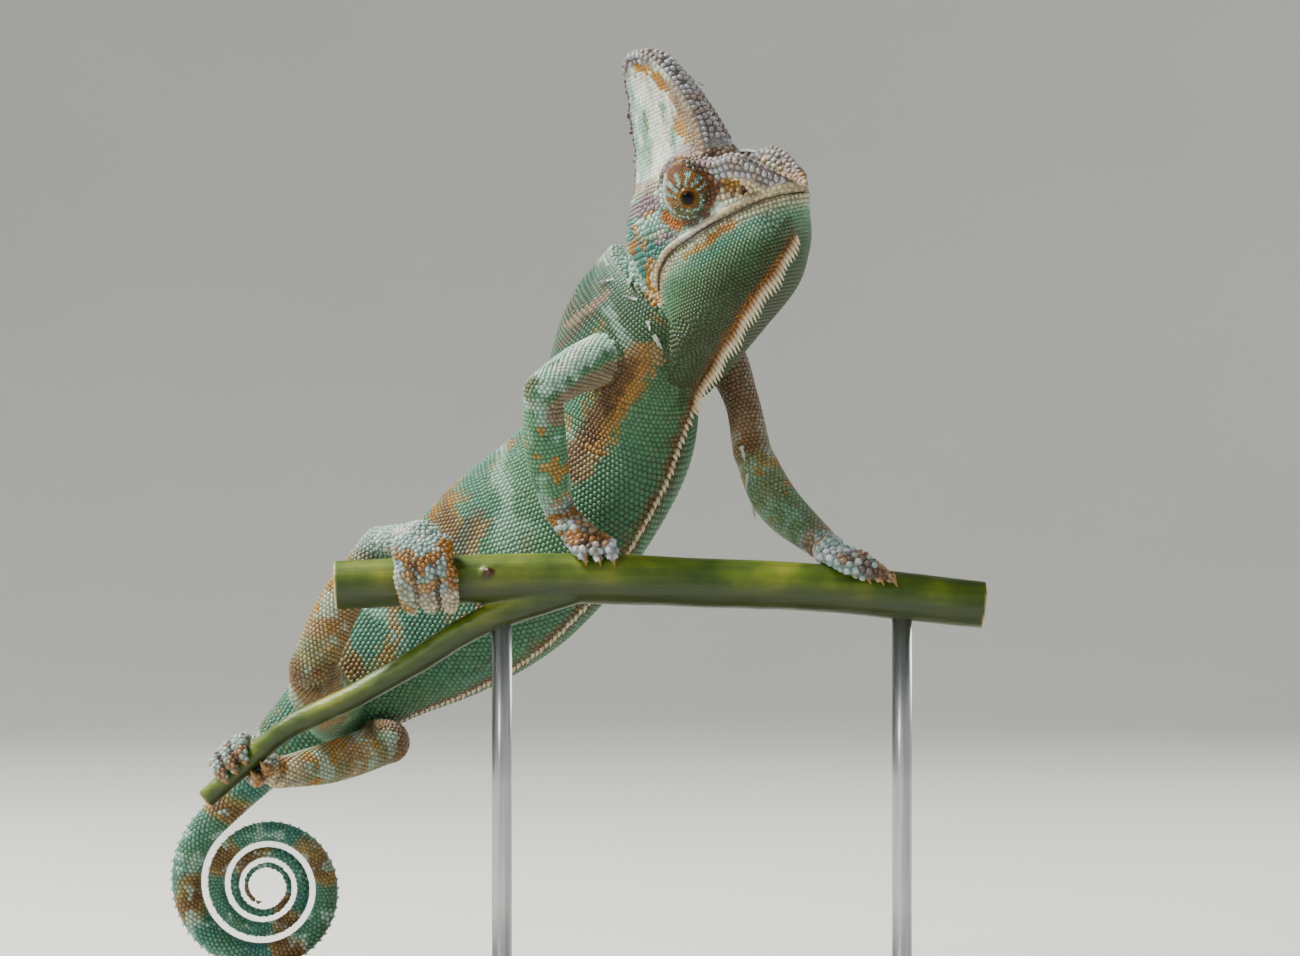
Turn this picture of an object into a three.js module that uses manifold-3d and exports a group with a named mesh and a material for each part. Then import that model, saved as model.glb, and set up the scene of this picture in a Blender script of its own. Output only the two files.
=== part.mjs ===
// A life-size veiled chameleon holding a cut branch, on a display stand.
// Millimetres, +Z up. The origin is the middle of the underside of the stand's base.
// +X runs along the branch towards the raised end, -Y is the side the animal's belly turns to.

import * as THREE from "three";
import { mergeVertices } from "three/addons/utils/BufferGeometryUtils.js";
import Module from "manifold-3d";

const wasm = await Module();
wasm.setup();

// ---------------------------------------------------------------- driving dimensions

const JOIN_GAP = 0.3;
const SLIVER = 0.06;

// Trunk, from the back of the skull to the vent. Depth and width are half sizes, and tilt is
// how far the belly turns towards -Y, in degrees.
const TRUNK = [
  { at: [17.5, -6, 198.6], depth: 20, width: 11.5, tilt: 48 },
  { at: [11.3, -2, 188.8], depth: 22, width: 13, tilt: 50 },
  { at: [8.5, 3, 176.7], depth: 23.6, width: 15, tilt: 52 },
  { at: [5.2, 9, 159.4], depth: 25.6, width: 15, tilt: 50 },
  { at: [-6.4, 15, 142.5], depth: 27.4, width: 15, tilt: 43 },
  { at: [-21, 20, 128.8], depth: 28.4, width: 15.5, tilt: 38 },
  { at: [-37.2, 25, 115.5], depth: 24.5, width: 14.5, tilt: 31 },
  { at: [-53.9, 29, 103.1], depth: 18.5, width: 12.5, tilt: 24 },
  { at: [-69, 32, 89.6], depth: 12.5, width: 10.5, tilt: 18 },
  { at: [-82.4, 35, 78.4], depth: 8.5, width: 7.5, tilt: 15 },
];
const TRUNK_POWER = 2.25;
const TRUNK_PARTS = [
  { name: "neck", from: 0, to: 1.25 },
  { name: "chest", from: 1.25, to: 3.25 },
  { name: "belly", from: 3.25, to: 5.25 },
  { name: "loin", from: 5.25, to: 7.25 },
  { name: "pelvis", from: 7.25, to: 9 },
];

// Tail: a run from the vent into a flat spiral whose radius shrinks by the same share each turn.
// Places on it are in whole turns from the start of the spiral, and the run counts as runTurns.
const TAIL = {
  centre: [-86.3, 35, 42.6],
  startAngle: 130,
  runTurns: 0.22,
  coilRadius: 22,
  coilShrink: 0.62,
  radius: 4.3,
  radiusShrink: 0.6,
  baseRadius: 7.6,
  stepsPerTurn: 18,
};
const TAIL_CUTS = [0, 0.2, 0.45, 0.7, 0.95, 1.25, 1.6, 2, 2.6, 3.35];

// Head frame: a runs forward to the snout, b up to the casque, c to the animal's left.
const HEAD = { at: [27.6, -16, 207.6], yaw: 40, pitch: 16, roll: 9 };

// Level slices of the head from the throat up to the casque's tip: height, back and front ends,
// greatest half width, where along the slice it lies, and how bluntly each end closes.
const HEAD_SLICES = [
  { b: -34.5, back: -19, front: -14, half: 5, peak: 0.5, blunt: [0.6, 0.45] },
  { b: -30, back: -20.5, front: -7.5, half: 11.5, peak: 0.6, blunt: [0.8, 0.32] },
  { b: -23, back: -21, front: 5.8, half: 15.5, peak: 0.66, blunt: [0.85, 0.25] },
  { b: -16.5, back: -21, front: 19.5, half: 16.3, peak: 0.66, blunt: [0.8, 0.24] },
  { b: -10, back: -21, front: 26.4, half: 16.2, peak: 0.64, blunt: [0.7, 0.24] },
  { b: -5, back: -21, front: 30.5, half: 15.8, peak: 0.56, blunt: [0.6, 0.27] },
  { b: 0, back: -21, front: 34.6, half: 14.6, peak: 0.42, blunt: [0.5, 0.4] },
  { b: 3.5, back: -20.6, front: 37.6, half: 13.5, peak: 0.32, blunt: [0.5, 0.5] },
  { b: 5.5, back: -20.2, front: 36.4, half: 12.9, peak: 0.28, blunt: [0.5, 0.42] },
  { b: 8.5, back: -19.5, front: 32, half: 12, peak: 0.3, blunt: [0.5, 0.36] },
  { b: 12, back: -18.4, front: 27, half: 11, peak: 0.36, blunt: [0.5, 0.34] },
  { b: 16.5, back: -16.5, front: 22, half: 9.8, peak: 0.5, blunt: [0.6, 0.36] },
  { b: 21, back: -14, front: 19.4, half: 7.8, peak: 0.68, blunt: [0.75, 0.42] },
  { b: 29, back: -11, front: 17, half: 5.2, peak: 0.8, blunt: [0.85, 0.45] },
  { b: 40, back: -8.2, front: 13.4, half: 4.1, peak: 0.82, blunt: [0.85, 0.45] },
  { b: 48.5, back: -6, front: 9.8, half: 3.4, peak: 0.76, blunt: [0.7, 0.5] },
  { b: 52.3, back: -2.5, front: 5, half: 1.9, peak: 0.55, blunt: [0.5, 0.5] },
];

// Lines on the head as places a, b and c. The mouth's line lies on the head's own surface.
const MOUTH = [
  [37.4, 3.2], [32.8, 4.3], [25, 4.3], [15.5, 3.1], [8.4, 1.7], [1.3, 0], [-3.8, -3.1], [-7.4, -7],
];
const LIP_RADII = [0.7, 1, 1.1, 1.1, 1];
const MOUTH_RADII = [0.5, 0.6, 0.6, 0.6, 0.5];
const BROW = [
  [1, 19, 6.6], [9.5, 21.2, 8.2], [19, 17, 8.8], [25.6, 16.2, 8.4], [31.5, 10.4, 6.2], [36.2, 5.8, 2.2],
];
const BROW_RADII = [1.2, 1.9, 2, 1.9, 1.7, 1];
const BROW_UNDER = { back: 1.2, down: 2.2, inward: 0.88, radii: [1.4, 2, 2.6, 2.8, 2.4, 1] };
const CREST_LINE = [
  [15.2, 20.5, 5.4], [14.2, 30, 3.4], [10.7, 41, 2.8], [5.4, 49.4, 2.2], [-0.6, 52, 1.4], [-4.9, 49, 0.8],
];
const CREST_LINE_RADII = [1.7, 1.8, 1.6, 1.5, 1.3, 1];
const NOSTRIL = { a: 24.5, b: 8.4, size: 0.9, out: 0.2 };
const EYE = {
  centre: [8.8, 13.1, 8.3],
  axis: [0.47, -0.23, 0.85],
  turret: [6.8, 8.7, 7.4],
  rim: { axis: [0.28, 0.05, 0.96], out: -0.6, wider: 0.9, radius: 1.7 },
  ballRadius: 3.1,
  ballOut: 4.9,
};

// Perch: the cut branch and the twig that forks from it.
const BRANCH = {
  path: [[-63.8, -28, 123.2], [-27.5, -28, 124.8], [2.5, -28, 124.8], [27.5, -28, 123.8], [57.5, -28, 122.5],
    [98.8, -28, 118.2]],
  radii: [6.2, 6.3, 6.5, 6.3, 6.2, 6],
};
const TWIG = {
  path: [[-3.7, -29, 122.5], [-27.5, -28, 113.8], [-44.3, -26, 103.7], [-61, -24, 94.3], [-75.5, -21, 87.4],
    [-85, -19, 79.7], [-97.2, -18, 68.8]],
  radii: [4.2, 3.6, 3.4, 3.2, 3, 2.8, 2.6],
};

// Limbs: the centre lines of the two long parts, from the body out, with the radius at each place,
// and how the end grips the perch. Angles round the perch go from straight up towards -Y, and drift
// is how far a toe slides along the perch on its way round.
const LIMBS = [
  {
    side: "right", upper: "upper_arm", lower: "forearm", end: "hand",
    upperPath: [[11, -4, 183], [-2, -17, 178], [-11.8, -28, 171.5]],
    upperRadii: [7.6, 6.2, 5.2],
    lowerPath: [[-11.8, -28, 171.5], [-11, -25.5, 156], [-7.6, -20.5, 141]],
    lowerRadii: [5, 5.4, 3.8],
    grip: { on: BRANCH, along: 0.372, palm: 0, toes: [
      { count: 3, from: -16, to: 52, drift: 3.5 }, { count: 2, from: -24, to: -128, drift: 3 }] },
    toeRadius: 2.5,
  },
  {
    side: "left", upper: "upper_arm", lower: "forearm", end: "hand",
    upperPath: [[18, 13, 182], [32, 10, 182], [38.2, 5, 171], [41.2, 0, 156.5]],
    upperRadii: [8.5, 6.6, 4.6, 5],
    lowerPath: [[41.2, 0, 156.5], [47.6, -7, 143.5], [60, -19, 132]],
    lowerRadii: [4.9, 5.8, 3.9],
    grip: { on: BRANCH, along: 0.81, palm: 0, toes: [
      { count: 3, from: 8, to: 62, drift: 12 }, { count: 2, from: -18, to: -124, drift: 8 }] },
    toeRadius: 2.3,
  },
  {
    side: "right", upper: "thigh", lower: "shank", end: "foot",
    upperPath: [[-67, 24, 89], [-69.5, 3, 95], [-70.3, -16, 102]],
    upperRadii: [8.5, 7.8, 6],
    lowerPath: [[-70.3, -16, 102], [-63.5, -15, 118], [-53.5, -15, 133.5]],
    lowerRadii: [5.8, 5.6, 4.4],
    grip: { on: BRANCH, along: 0.12, palm: 10, toes: [
      { count: 3, from: 10, to: 136, drift: 2 }, { count: 2, from: -24, to: -156, drift: 4 }] },
    toeRadius: 3.3,
  },
  {
    side: "left", upper: "thigh", lower: "shank", end: "foot",
    upperPath: [[-70, 37, 86], [-61, 29, 82], [-52.9, 16, 81.6]],
    upperRadii: [7.5, 7, 5.8],
    lowerPath: [[-52.9, 16, 81.6], [-66.5, 7, 77], [-80, -1, 74.5]],
    lowerRadii: [5.6, 5.4, 4],
    grip: { on: TWIG, along: 0.865, palm: -60, toes: [
      { count: 3, from: 14, to: 150, drift: 2 }, { count: 2, from: -16, to: -150, drift: -2 }] },
    toeRadius: 2.4,
  },
];

const BASE = { width: 176, depth: 104, height: 14, corner: 12, bevel: 1.5 };
const ROD = { radius: 2.5, footRadius: 8, footHeight: 3, places: { left: -22, right: 78 } };

// Spines of the three crests: lengths, how far apart they stand, how far their tips lean back,
// their half width at the root and how deep the root is sunk.
const CREST = {
  gularLength: 3.4, bellyLength: 1.5, backLength: 1.7, pitch: 4.1, tilt: 0.45, root: 0.9, sunk: 0.8,
  gularCount: 20, gularFrom: 5.2, gularTo: 0.3, backFrom: 0.45, bellyFrom: 1,
};

// Toes run joined in one pad for this share of their way round the perch, and their undersides
// keep this far from it, so that their flat faces clear it too.
const TOES_PART = 0.62;
const TOE_SPREAD = { root: 0.95, tip: 0.72 };
const TOE_CLEAR = 0.7;
const CLAW = { reach: 34, rise: 1.9, radius: 0.95, tip: 0.12 };

// ---------------------------------------------------------------- numbers and vectors

const radians = THREE.MathUtils.degToRad;
const vector = (p) => new THREE.Vector3(...p);

// A smooth value through evenly numbered samples.
function through(values, s) {
  const last = values.length - 1;
  const i = Math.min(Math.max(Math.floor(s), 0), last - 1);
  const t = s - i;
  const p1 = values[i];
  const p2 = values[i + 1];
  const p0 = i > 0 ? values[i - 1] : 2 * p1 - p2;
  const p3 = i < last - 1 ? values[i + 2] : 2 * p2 - p1;
  const linear = p2 - p0;
  const square = 2 * p0 - 5 * p1 + 4 * p2 - p3;
  const cube = -p0 + 3 * p1 - 3 * p2 + p3;
  return 0.5 * (2 * p1 + linear * t + square * t * t + cube * t * t * t);
}

const pointThrough = (points, s) =>
  new THREE.Vector3(...[0, 1, 2].map((axis) => through(points.map((p) => p[axis]), s)));

function directionThrough(points, s) {
  const step = 0.02;
  const ahead = Math.min(s + step, points.length - 1);
  const behind = Math.max(s - step, 0);
  return pointThrough(points, ahead).sub(pointThrough(points, behind)).normalize();
}

const signedPower = (value, power) => Math.sign(value) * Math.abs(value) ** power;

// ---------------------------------------------------------------- closed solids

// A solid from points and triangles that close it, turned right side out.
function closedSolid(points, triangles) {
  const mesh = new wasm.Mesh({
    numProp: 3,
    vertProperties: new Float32Array(points.flatMap((p) => p.toArray())),
    triVerts: new Uint32Array(triangles.flat()),
  });
  const solid = new wasm.Manifold(mesh);
  if (solid.volume() > 0) return solid;
  mesh.triVerts = new Uint32Array(triangles.flatMap(([a, b, c]) => [a, c, b]));
  return new wasm.Manifold(mesh);
}

// A closed solid through rings of equal length, each end closed to the middle of its ring.
function loft(rings) {
  const sides = rings[0].length;
  const points = rings.flat();
  const triangles = [];
  for (let r = 0; r + 1 < rings.length; r += 1) {
    for (let k = 0; k < sides; k += 1) {
      const here = r * sides + k;
      const next = r * sides + ((k + 1) % sides);
      triangles.push([here, next, next + sides], [here, next + sides, here + sides]);
    }
  }
  const middle = (ring) =>
    ring.reduce((sum, p) => sum.add(p), new THREE.Vector3()).divideScalar(sides);
  points.push(middle(rings[0]), middle(rings[rings.length - 1]));
  const lastRing = (rings.length - 1) * sides;
  for (let k = 0; k < sides; k += 1) {
    const next = (k + 1) % sides;
    triangles.push([points.length - 2, next, k], [points.length - 1, lastRing + k, lastRing + next]);
  }
  return closedSolid(points, triangles);
}

// A closed loop of rings, such as a rope laid in a circle.
function ringSolid(rings) {
  const sides = rings[0].length;
  const count = rings.length;
  const triangles = [];
  for (let r = 0; r < count; r += 1) {
    for (let k = 0; k < sides; k += 1) {
      const here = r * sides + k;
      const next = r * sides + ((k + 1) % sides);
      const over = ((r + 1) % count) * sides + k;
      const across = ((r + 1) % count) * sides + ((k + 1) % sides);
      triangles.push([here, next, across], [here, across, over]);
    }
  }
  return closedSolid(rings.flat(), triangles);
}

function fromGeometry(geometry) {
  geometry.deleteAttribute("normal");
  geometry.deleteAttribute("uv");
  const merged = mergeVertices(geometry, 1e-4);
  return new wasm.Manifold(new wasm.Mesh({
    numProp: 3,
    vertProperties: new Float32Array(merged.attributes.position.array),
    triVerts: new Uint32Array(merged.index.array),
  }));
}

const union = (solids) => solids.reduce((all, solid) => all.add(solid));

// The largest closed body of a solid, without the slivers that joining leaves.
function largest(solid) {
  const pieces = solid.simplify(SLIVER).decompose();
  return pieces.reduce((best, piece) => (piece.volume() > best.volume() ? piece : best));
}

// A round ring about a point, square to a direction.
function roundRing(point, direction, across, radius, sides) {
  const up = direction.clone().cross(across);
  return Array.from({ length: sides }, (_, k) => {
    const angle = (2 * Math.PI * k) / sides;
    return point.clone()
      .addScaledVector(across, radius * Math.cos(angle))
      .addScaledVector(up, radius * Math.sin(angle));
  });
}

// A round tube along points, its section carried along without twist.
function tube(points, radii, sides) {
  let across = new THREE.Vector3();
  const rings = points.map((point, i) => {
    const before = points[Math.max(i - 1, 0)];
    const after = points[Math.min(i + 1, points.length - 1)];
    const direction = after.clone().sub(before).normalize();
    if (i === 0) {
      const helper = Math.abs(direction.z) < 0.9 ? new THREE.Vector3(0, 0, 1) : new THREE.Vector3(1, 0, 0);
      across = helper.cross(direction).normalize();
    }
    across.addScaledVector(direction, -across.dot(direction)).normalize();
    return roundRing(point, direction, across, radii[i], sides);
  });
  return loft(rings);
}

// A tube through joints with rounded ends, every radius widened by grow.
function limbTube(joints, radii, grow, sides) {
  const steps = 6;
  const endShare = [0.5, 0.87];
  const points = [];
  const widths = [];
  const last = joints.length - 1;
  const start = pointThrough(joints, 0);
  const startOut = directionThrough(joints, 0).negate();
  const end = pointThrough(joints, last);
  const endOut = directionThrough(joints, last);
  const firstRadius = radii[0] + grow;
  const lastRadius = radii[radii.length - 1] + grow;
  const bulge = (share) => Math.sqrt(1 - share * share);
  for (const share of [...endShare].reverse()) {
    points.push(start.clone().addScaledVector(startOut, firstRadius * share));
    widths.push(firstRadius * bulge(share));
  }
  for (let i = 0; i <= steps; i += 1) {
    const s = i / steps;
    points.push(pointThrough(joints, s * last));
    widths.push(through(radii, s * (radii.length - 1)) + grow);
  }
  for (const share of endShare) {
    points.push(end.clone().addScaledVector(endOut, lastRadius * share));
    widths.push(lastRadius * bulge(share));
  }
  return tube(points, widths, sides);
}

// A pointed spine: a square root sunk below the skin and one tip, all widened by grow.
function spine(root, out, along, length, grow) {
  const foot = root.clone().addScaledVector(out, -CREST.sunk);
  const side = out.clone().cross(along).normalize();
  const reach = length + 3 * grow;
  const tip = root.clone().addScaledVector(out, reach).addScaledVector(along, reach * CREST.tilt);
  const ring = [along, side, along.clone().negate(), side.clone().negate()]
    .map((way) => foot.clone().addScaledVector(way, CREST.root + 2 * grow));
  return closedSolid([...ring, tip], [[0, 1, 4], [1, 2, 4], [2, 3, 4], [3, 0, 4], [0, 2, 1], [0, 3, 2]]);
}

// ---------------------------------------------------------------- trunk and tail

const trunkPoints = TRUNK.map((station) => station.at);
const trunkValue = (key, s) => through(TRUNK.map((station) => station[key]), s);

// Centre, direction, belly side and left side of the trunk at station number s.
function trunkFrame(s) {
  const centre = pointThrough(trunkPoints, s);
  const tangent = directionThrough(trunkPoints, s);
  const tilt = radians(trunkValue("tilt", s));
  const belly = new THREE.Vector3(-tangent.z, 0, tangent.x).normalize().multiplyScalar(Math.cos(tilt));
  belly.y -= Math.sin(tilt);
  belly.addScaledVector(tangent, -belly.dot(tangent)).normalize();
  const left = belly.clone().cross(tangent).normalize();
  return { centre, tangent, belly, left };
}

function trunkRing(s, grow, sides) {
  const frame = trunkFrame(s);
  const depth = trunkValue("depth", s) + grow;
  const width = trunkValue("width", s) + grow;
  const power = 2 / TRUNK_POWER;
  return Array.from({ length: sides }, (_, k) => {
    const angle = (2 * Math.PI * k) / sides;
    return frame.centre.clone()
      .addScaledVector(frame.belly, depth * signedPower(Math.cos(angle), power))
      .addScaledVector(frame.left, width * signedPower(Math.sin(angle), power));
  });
}

// The trunk between two stations, with rings at the same places whatever the ends.
function trunkSolid(from, to, grow) {
  const sides = 18;
  const ringsPerStation = 4;
  const clear = 0.08;
  const places = [from];
  for (let i = 0; i <= (TRUNK.length - 1) * ringsPerStation; i += 1) {
    const s = i / ringsPerStation;
    if (s > from + clear && s < to - clear) places.push(s);
  }
  places.push(to);
  return loft(places.map((s) => trunkRing(s, grow, sides)));
}

// A row of spines along the belly (side 1) or the back (side -1), those between two stations.
function trunkSpines(first, from, to, side, length, grow) {
  const clear = 0.07;
  const spines = [];
  let s = first;
  while (s < Math.min(to, TRUNK.length - 1) - clear) {
    if (s > from + clear) {
      const frame = trunkFrame(s);
      const out = frame.belly.clone().multiplyScalar(side);
      const root = frame.centre.clone().addScaledVector(out, trunkValue("depth", s));
      spines.push(spine(root, out, frame.tangent, length, grow));
    }
    const step = 0.01;
    const speed = pointThrough(trunkPoints, s + step).distanceTo(pointThrough(trunkPoints, s)) / step;
    s += CREST.pitch / speed;
  }
  return spines;
}

function coilPoint(turn) {
  const angle = radians(TAIL.startAngle) + 2 * Math.PI * turn;
  const radius = TAIL.coilRadius * TAIL.coilShrink ** turn;
  const out = new THREE.Vector3(radius * Math.cos(angle), 0, radius * Math.sin(angle));
  return vector(TAIL.centre).add(out);
}

// The tail's centre line; s below 0 is the smooth run from the vent.
function tailPoint(s) {
  if (s >= 0) return coilPoint(s);
  const start = pointThrough(trunkPoints, TRUNK.length - 1);
  const entry = coilPoint(0);
  const share = 1 + s / TAIL.runTurns;
  const heading = directionThrough(trunkPoints, TRUNK.length - 1);
  const leaving = coilPoint(0.01).sub(entry).normalize();
  const reach = start.distanceTo(entry);
  const a = 2 * share ** 3 - 3 * share ** 2 + 1;
  const b = share ** 3 - 2 * share ** 2 + share;
  const c = -2 * share ** 3 + 3 * share ** 2;
  const d = share ** 3 - share ** 2;
  return start.clone().multiplyScalar(a).addScaledVector(heading, b * reach)
    .addScaledVector(entry, c).addScaledVector(leaving, d * reach);
}

function tailRadius(s) {
  if (s >= 0) return TAIL.radius * TAIL.radiusShrink ** s;
  const share = -s / TAIL.runTurns;
  return TAIL.radius + (TAIL.baseRadius - TAIL.radius) * share ** 1.3;
}

function tailSolid(from, to) {
  const sides = from < 0.9 ? 10 : 8;
  const steps = Math.max(3, Math.round((to - from) * TAIL.stepsPerTurn));
  const step = 0.002;
  const rings = [];
  for (let i = 0; i <= steps; i += 1) {
    const s = from + ((to - from) * i) / steps;
    const direction = tailPoint(s + step).sub(tailPoint(s - step)).normalize();
    const across = new THREE.Vector3(0, 1, 0).addScaledVector(direction, -direction.y).normalize();
    rings.push(roundRing(tailPoint(s), direction, across, tailRadius(s), sides));
  }
  return loft(rings);
}

// Both rows of spines between two stations, each row starting where it leaves the head.
function crestRows(from, to, grow) {
  const belly = trunkSpines(CREST.bellyFrom, from, to, 1, CREST.bellyLength, grow);
  const back = trunkSpines(CREST.backFrom, from, to, -1, CREST.backLength, grow);
  return [...belly, ...back];
}

// ---------------------------------------------------------------- head

function headAxes() {
  const yaw = radians(HEAD.yaw);
  const pitch = radians(HEAD.pitch);
  const roll = radians(HEAD.roll);
  const level = new THREE.Vector3(Math.cos(yaw), -Math.sin(yaw), 0);
  const plumb = new THREE.Vector3(0, 0, 1);
  const forward = level.clone().multiplyScalar(Math.cos(pitch)).addScaledVector(plumb, Math.sin(pitch));
  const upright = level.clone().multiplyScalar(-Math.sin(pitch)).addScaledVector(plumb, Math.cos(pitch));
  const sideways = upright.clone().cross(forward);
  const up = upright.clone().multiplyScalar(Math.cos(roll)).addScaledVector(sideways, -Math.sin(roll));
  const left = sideways.clone().multiplyScalar(Math.cos(roll)).addScaledVector(upright, Math.sin(roll));
  return { forward, up, left };
}

const headFrame = headAxes();
const headWay = (a, b, c) => new THREE.Vector3()
  .addScaledVector(headFrame.forward, a).addScaledVector(headFrame.up, b).addScaledVector(headFrame.left, c);
const headPoint = (a, b, c) => vector(HEAD.at).add(headWay(a, b, c));

function headSlice(s) {
  const keys = ["b", "back", "front", "half", "peak"];
  const slice = Object.fromEntries(keys.map((key) => [key, through(HEAD_SLICES.map((row) => row[key]), s)]));
  slice.blunt = [0, 1].map((end) => through(HEAD_SLICES.map((row) => row.blunt[end]), s));
  return slice;
}

// Half width of a slice at a share of the way from its back to its front.
function sliceHalf(slice, share) {
  if (share <= 0 || share >= 1) return 0;
  const quarter = Math.PI / 2;
  if (share < slice.peak) return slice.half * Math.sin((quarter * share) / slice.peak) ** slice.blunt[0];
  return slice.half * Math.cos((quarter * (share - slice.peak)) / (1 - slice.peak)) ** slice.blunt[1];
}

// Places of the head's rings, with one more between slices that lie far apart.
function headRingPlaces() {
  const farApart = 6;
  const places = [];
  HEAD_SLICES.forEach((slice, i) => {
    places.push(i);
    const next = HEAD_SLICES[i + 1];
    if (next && next.b - slice.b > farApart) places.push(i + 0.5);
  });
  return places;
}

function headSolid(grow) {
  const points = 12;
  const places = headRingPlaces();
  const shares = Array.from(
    { length: points - 1 },
    (_, k) => (1 - Math.cos((Math.PI * (k + 1)) / points)) / 2,
  );
  const rings = places.map((s, i) => {
    const slice = headSlice(s);
    const back = slice.back - grow;
    const front = slice.front + grow;
    const height = slice.b + (i === 0 ? -grow : 0) + (i === places.length - 1 ? grow : 0);
    const place = (share, side) =>
      headPoint(back + (front - back) * share, height, side * (sliceHalf(slice, share) + grow));
    const leftSide = shares.map((share) => place(share, 1));
    const rightSide = shares.map((share) => place(share, -1)).reverse();
    return [headPoint(back, height, 0), ...leftSide, headPoint(front, height, 0), ...rightSide];
  });
  return loft(rings);
}

// Half width of the head's own surface at a place seen from the side.
function headHalf(a, b) {
  let low = 0;
  let high = HEAD_SLICES.length - 1;
  for (let i = 0; i < 24; i += 1) {
    const middle = (low + high) / 2;
    if (headSlice(middle).b < b) low = middle;
    else high = middle;
  }
  const slice = headSlice(low);
  return sliceHalf(slice, (a - slice.back) / (slice.front - slice.back));
}

// A rounded rope laid through places on the head, on one side (1 left, -1 right).
function headRope(places, side, radii, steps, sides) {
  const points = [];
  const widths = [];
  for (let i = 0; i <= steps; i += 1) {
    const s = (i / steps) * (places.length - 1);
    const place = pointThrough(places, s);
    points.push(headPoint(place.x, place.y, side * place.z));
    widths.push(through(radii, (i / steps) * (radii.length - 1)));
  }
  return tube(points, widths, sides);
}

// The mouth's line, lifted and sunk into the head's surface.
const mouthPlaces = (lift, sink) => MOUTH.map(([a, b]) => {
  const least = 0.4;
  return [a, b + lift, Math.max(headHalf(a, b) - sink, least)];
});

// The second, lower rope that fills each brow out to the head.
const browUnder = BROW.map(([a, b, c]) => [a - BROW_UNDER.back, b - BROW_UNDER.down, c * BROW_UNDER.inward]);

// Out, up and across directions about an axis given for the left side of the head.
function eyeFrame(axis, side) {
  const out = headWay(axis[0], axis[1], side * axis[2]).normalize();
  const up = headFrame.up.clone().addScaledVector(out, -headFrame.up.dot(out)).normalize();
  return { out, up, across: up.clone().cross(out) };
}

// The cone of skin round an eye: an ellipsoid turned along the eye's own axis.
function turretSolid(side, grow) {
  const { out, up, across } = eyeFrame(EYE.axis, side);
  const geometry = new THREE.SphereGeometry(1, 12, 8);
  const [wide, tall, deep] = EYE.turret;
  const [a, b, c] = EYE.centre;
  const turn = new THREE.Matrix4().makeBasis(
    across.multiplyScalar(wide + grow), up.multiplyScalar(tall + grow), out.multiplyScalar(deep + grow));
  geometry.rotateX(Math.PI / 2);
  geometry.applyMatrix4(turn.setPosition(headPoint(a, b, side * c)));
  return fromGeometry(geometry);
}

function eyeballSolid(side, grow) {
  const [a, b, c] = EYE.centre;
  const geometry = new THREE.SphereGeometry(EYE.ballRadius + grow, 10, 6);
  const centre = headPoint(a, b, side * c).addScaledVector(eyeFrame(EYE.axis, side).out, EYE.ballOut);
  geometry.translate(centre.x, centre.y, centre.z);
  return fromGeometry(geometry);
}

// The rim of skin that the turret comes out of.
function orbitRim(side) {
  const { out, up, across } = eyeFrame(EYE.rim.axis, side);
  const [wide, tall] = EYE.turret;
  const [a, b, c] = EYE.centre;
  const middle = headPoint(a, b, side * c).addScaledVector(out, EYE.rim.out);
  const count = 12;
  const sides = 5;
  const rings = [];
  for (let i = 0; i < count; i += 1) {
    const angle = (2 * Math.PI * i) / count;
    const way = across.clone().multiplyScalar(Math.cos(angle)).addScaledVector(up, Math.sin(angle));
    const centre = middle.clone()
      .addScaledVector(across, (wide + EYE.rim.wider) * Math.cos(angle))
      .addScaledVector(up, (tall + EYE.rim.wider) * Math.sin(angle));
    rings.push(Array.from({ length: sides }, (_, k) => {
      const turn = (2 * Math.PI * k) / sides;
      return centre.clone()
        .addScaledVector(way, EYE.rim.radius * Math.cos(turn))
        .addScaledVector(out, EYE.rim.radius * Math.sin(turn));
    }));
  }
  return ringSolid(rings);
}

// The front edge of the head's profile below the mouth, where the throat's crest stands.
function throatEdge(s) {
  const slice = headSlice(s);
  return [slice.front, slice.b];
}

function gularSpines(grow) {
  const spines = [];
  const { gularCount, gularFrom, gularTo, gularLength } = CREST;
  for (let i = 0; i < gularCount; i += 1) {
    const share = i / (gularCount - 1);
    const s = gularFrom + (gularTo - gularFrom) * share;
    const [a, b] = throatEdge(s);
    const [nextA, nextB] = throatEdge(s - 0.05);
    const along = headWay(nextA - a, nextB - b, 0).normalize();
    const out = headWay(-(nextB - b), nextA - a, 0).normalize();
    const length = gularLength * (0.8 + 0.2 * Math.sin(Math.PI * (0.1 + 0.85 * share)));
    spines.push(spine(headPoint(a, b, 0), out, along, length, grow));
  }
  return spines;
}

function nostrilHole(side) {
  const hole = new THREE.SphereGeometry(NOSTRIL.size, 8, 6);
  const place = headPoint(NOSTRIL.a, NOSTRIL.b, side * (headHalf(NOSTRIL.a, NOSTRIL.b) + NOSTRIL.out));
  hole.translate(place.x, place.y, place.z);
  return fromGeometry(hole);
}

function buildHead() {
  const solids = [headSolid(0), ...gularSpines(0)];
  for (const side of [-1, 1]) {
    solids.push(headRope(BROW, side, BROW_RADII, 8, 6));
    solids.push(headRope(browUnder, side, BROW_UNDER.radii, 7, 6));
    solids.push(headRope(CREST_LINE, side, CREST_LINE_RADII, 6, 6));
    solids.push(headRope(mouthPlaces(1.3, 0.5), side, LIP_RADII, 8, 5));
    solids.push(orbitRim(side));
  }
  let head = union(solids);
  for (const side of [-1, 1]) {
    head = head.subtract(headRope(mouthPlaces(0, -0.1), side, MOUTH_RADII, 9, 4));
    head = head.subtract(turretSolid(side, JOIN_GAP));
    head = head.subtract(nostrilHole(side));
  }
  return largest(head);
}

// ---------------------------------------------------------------- perch and stand

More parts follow.
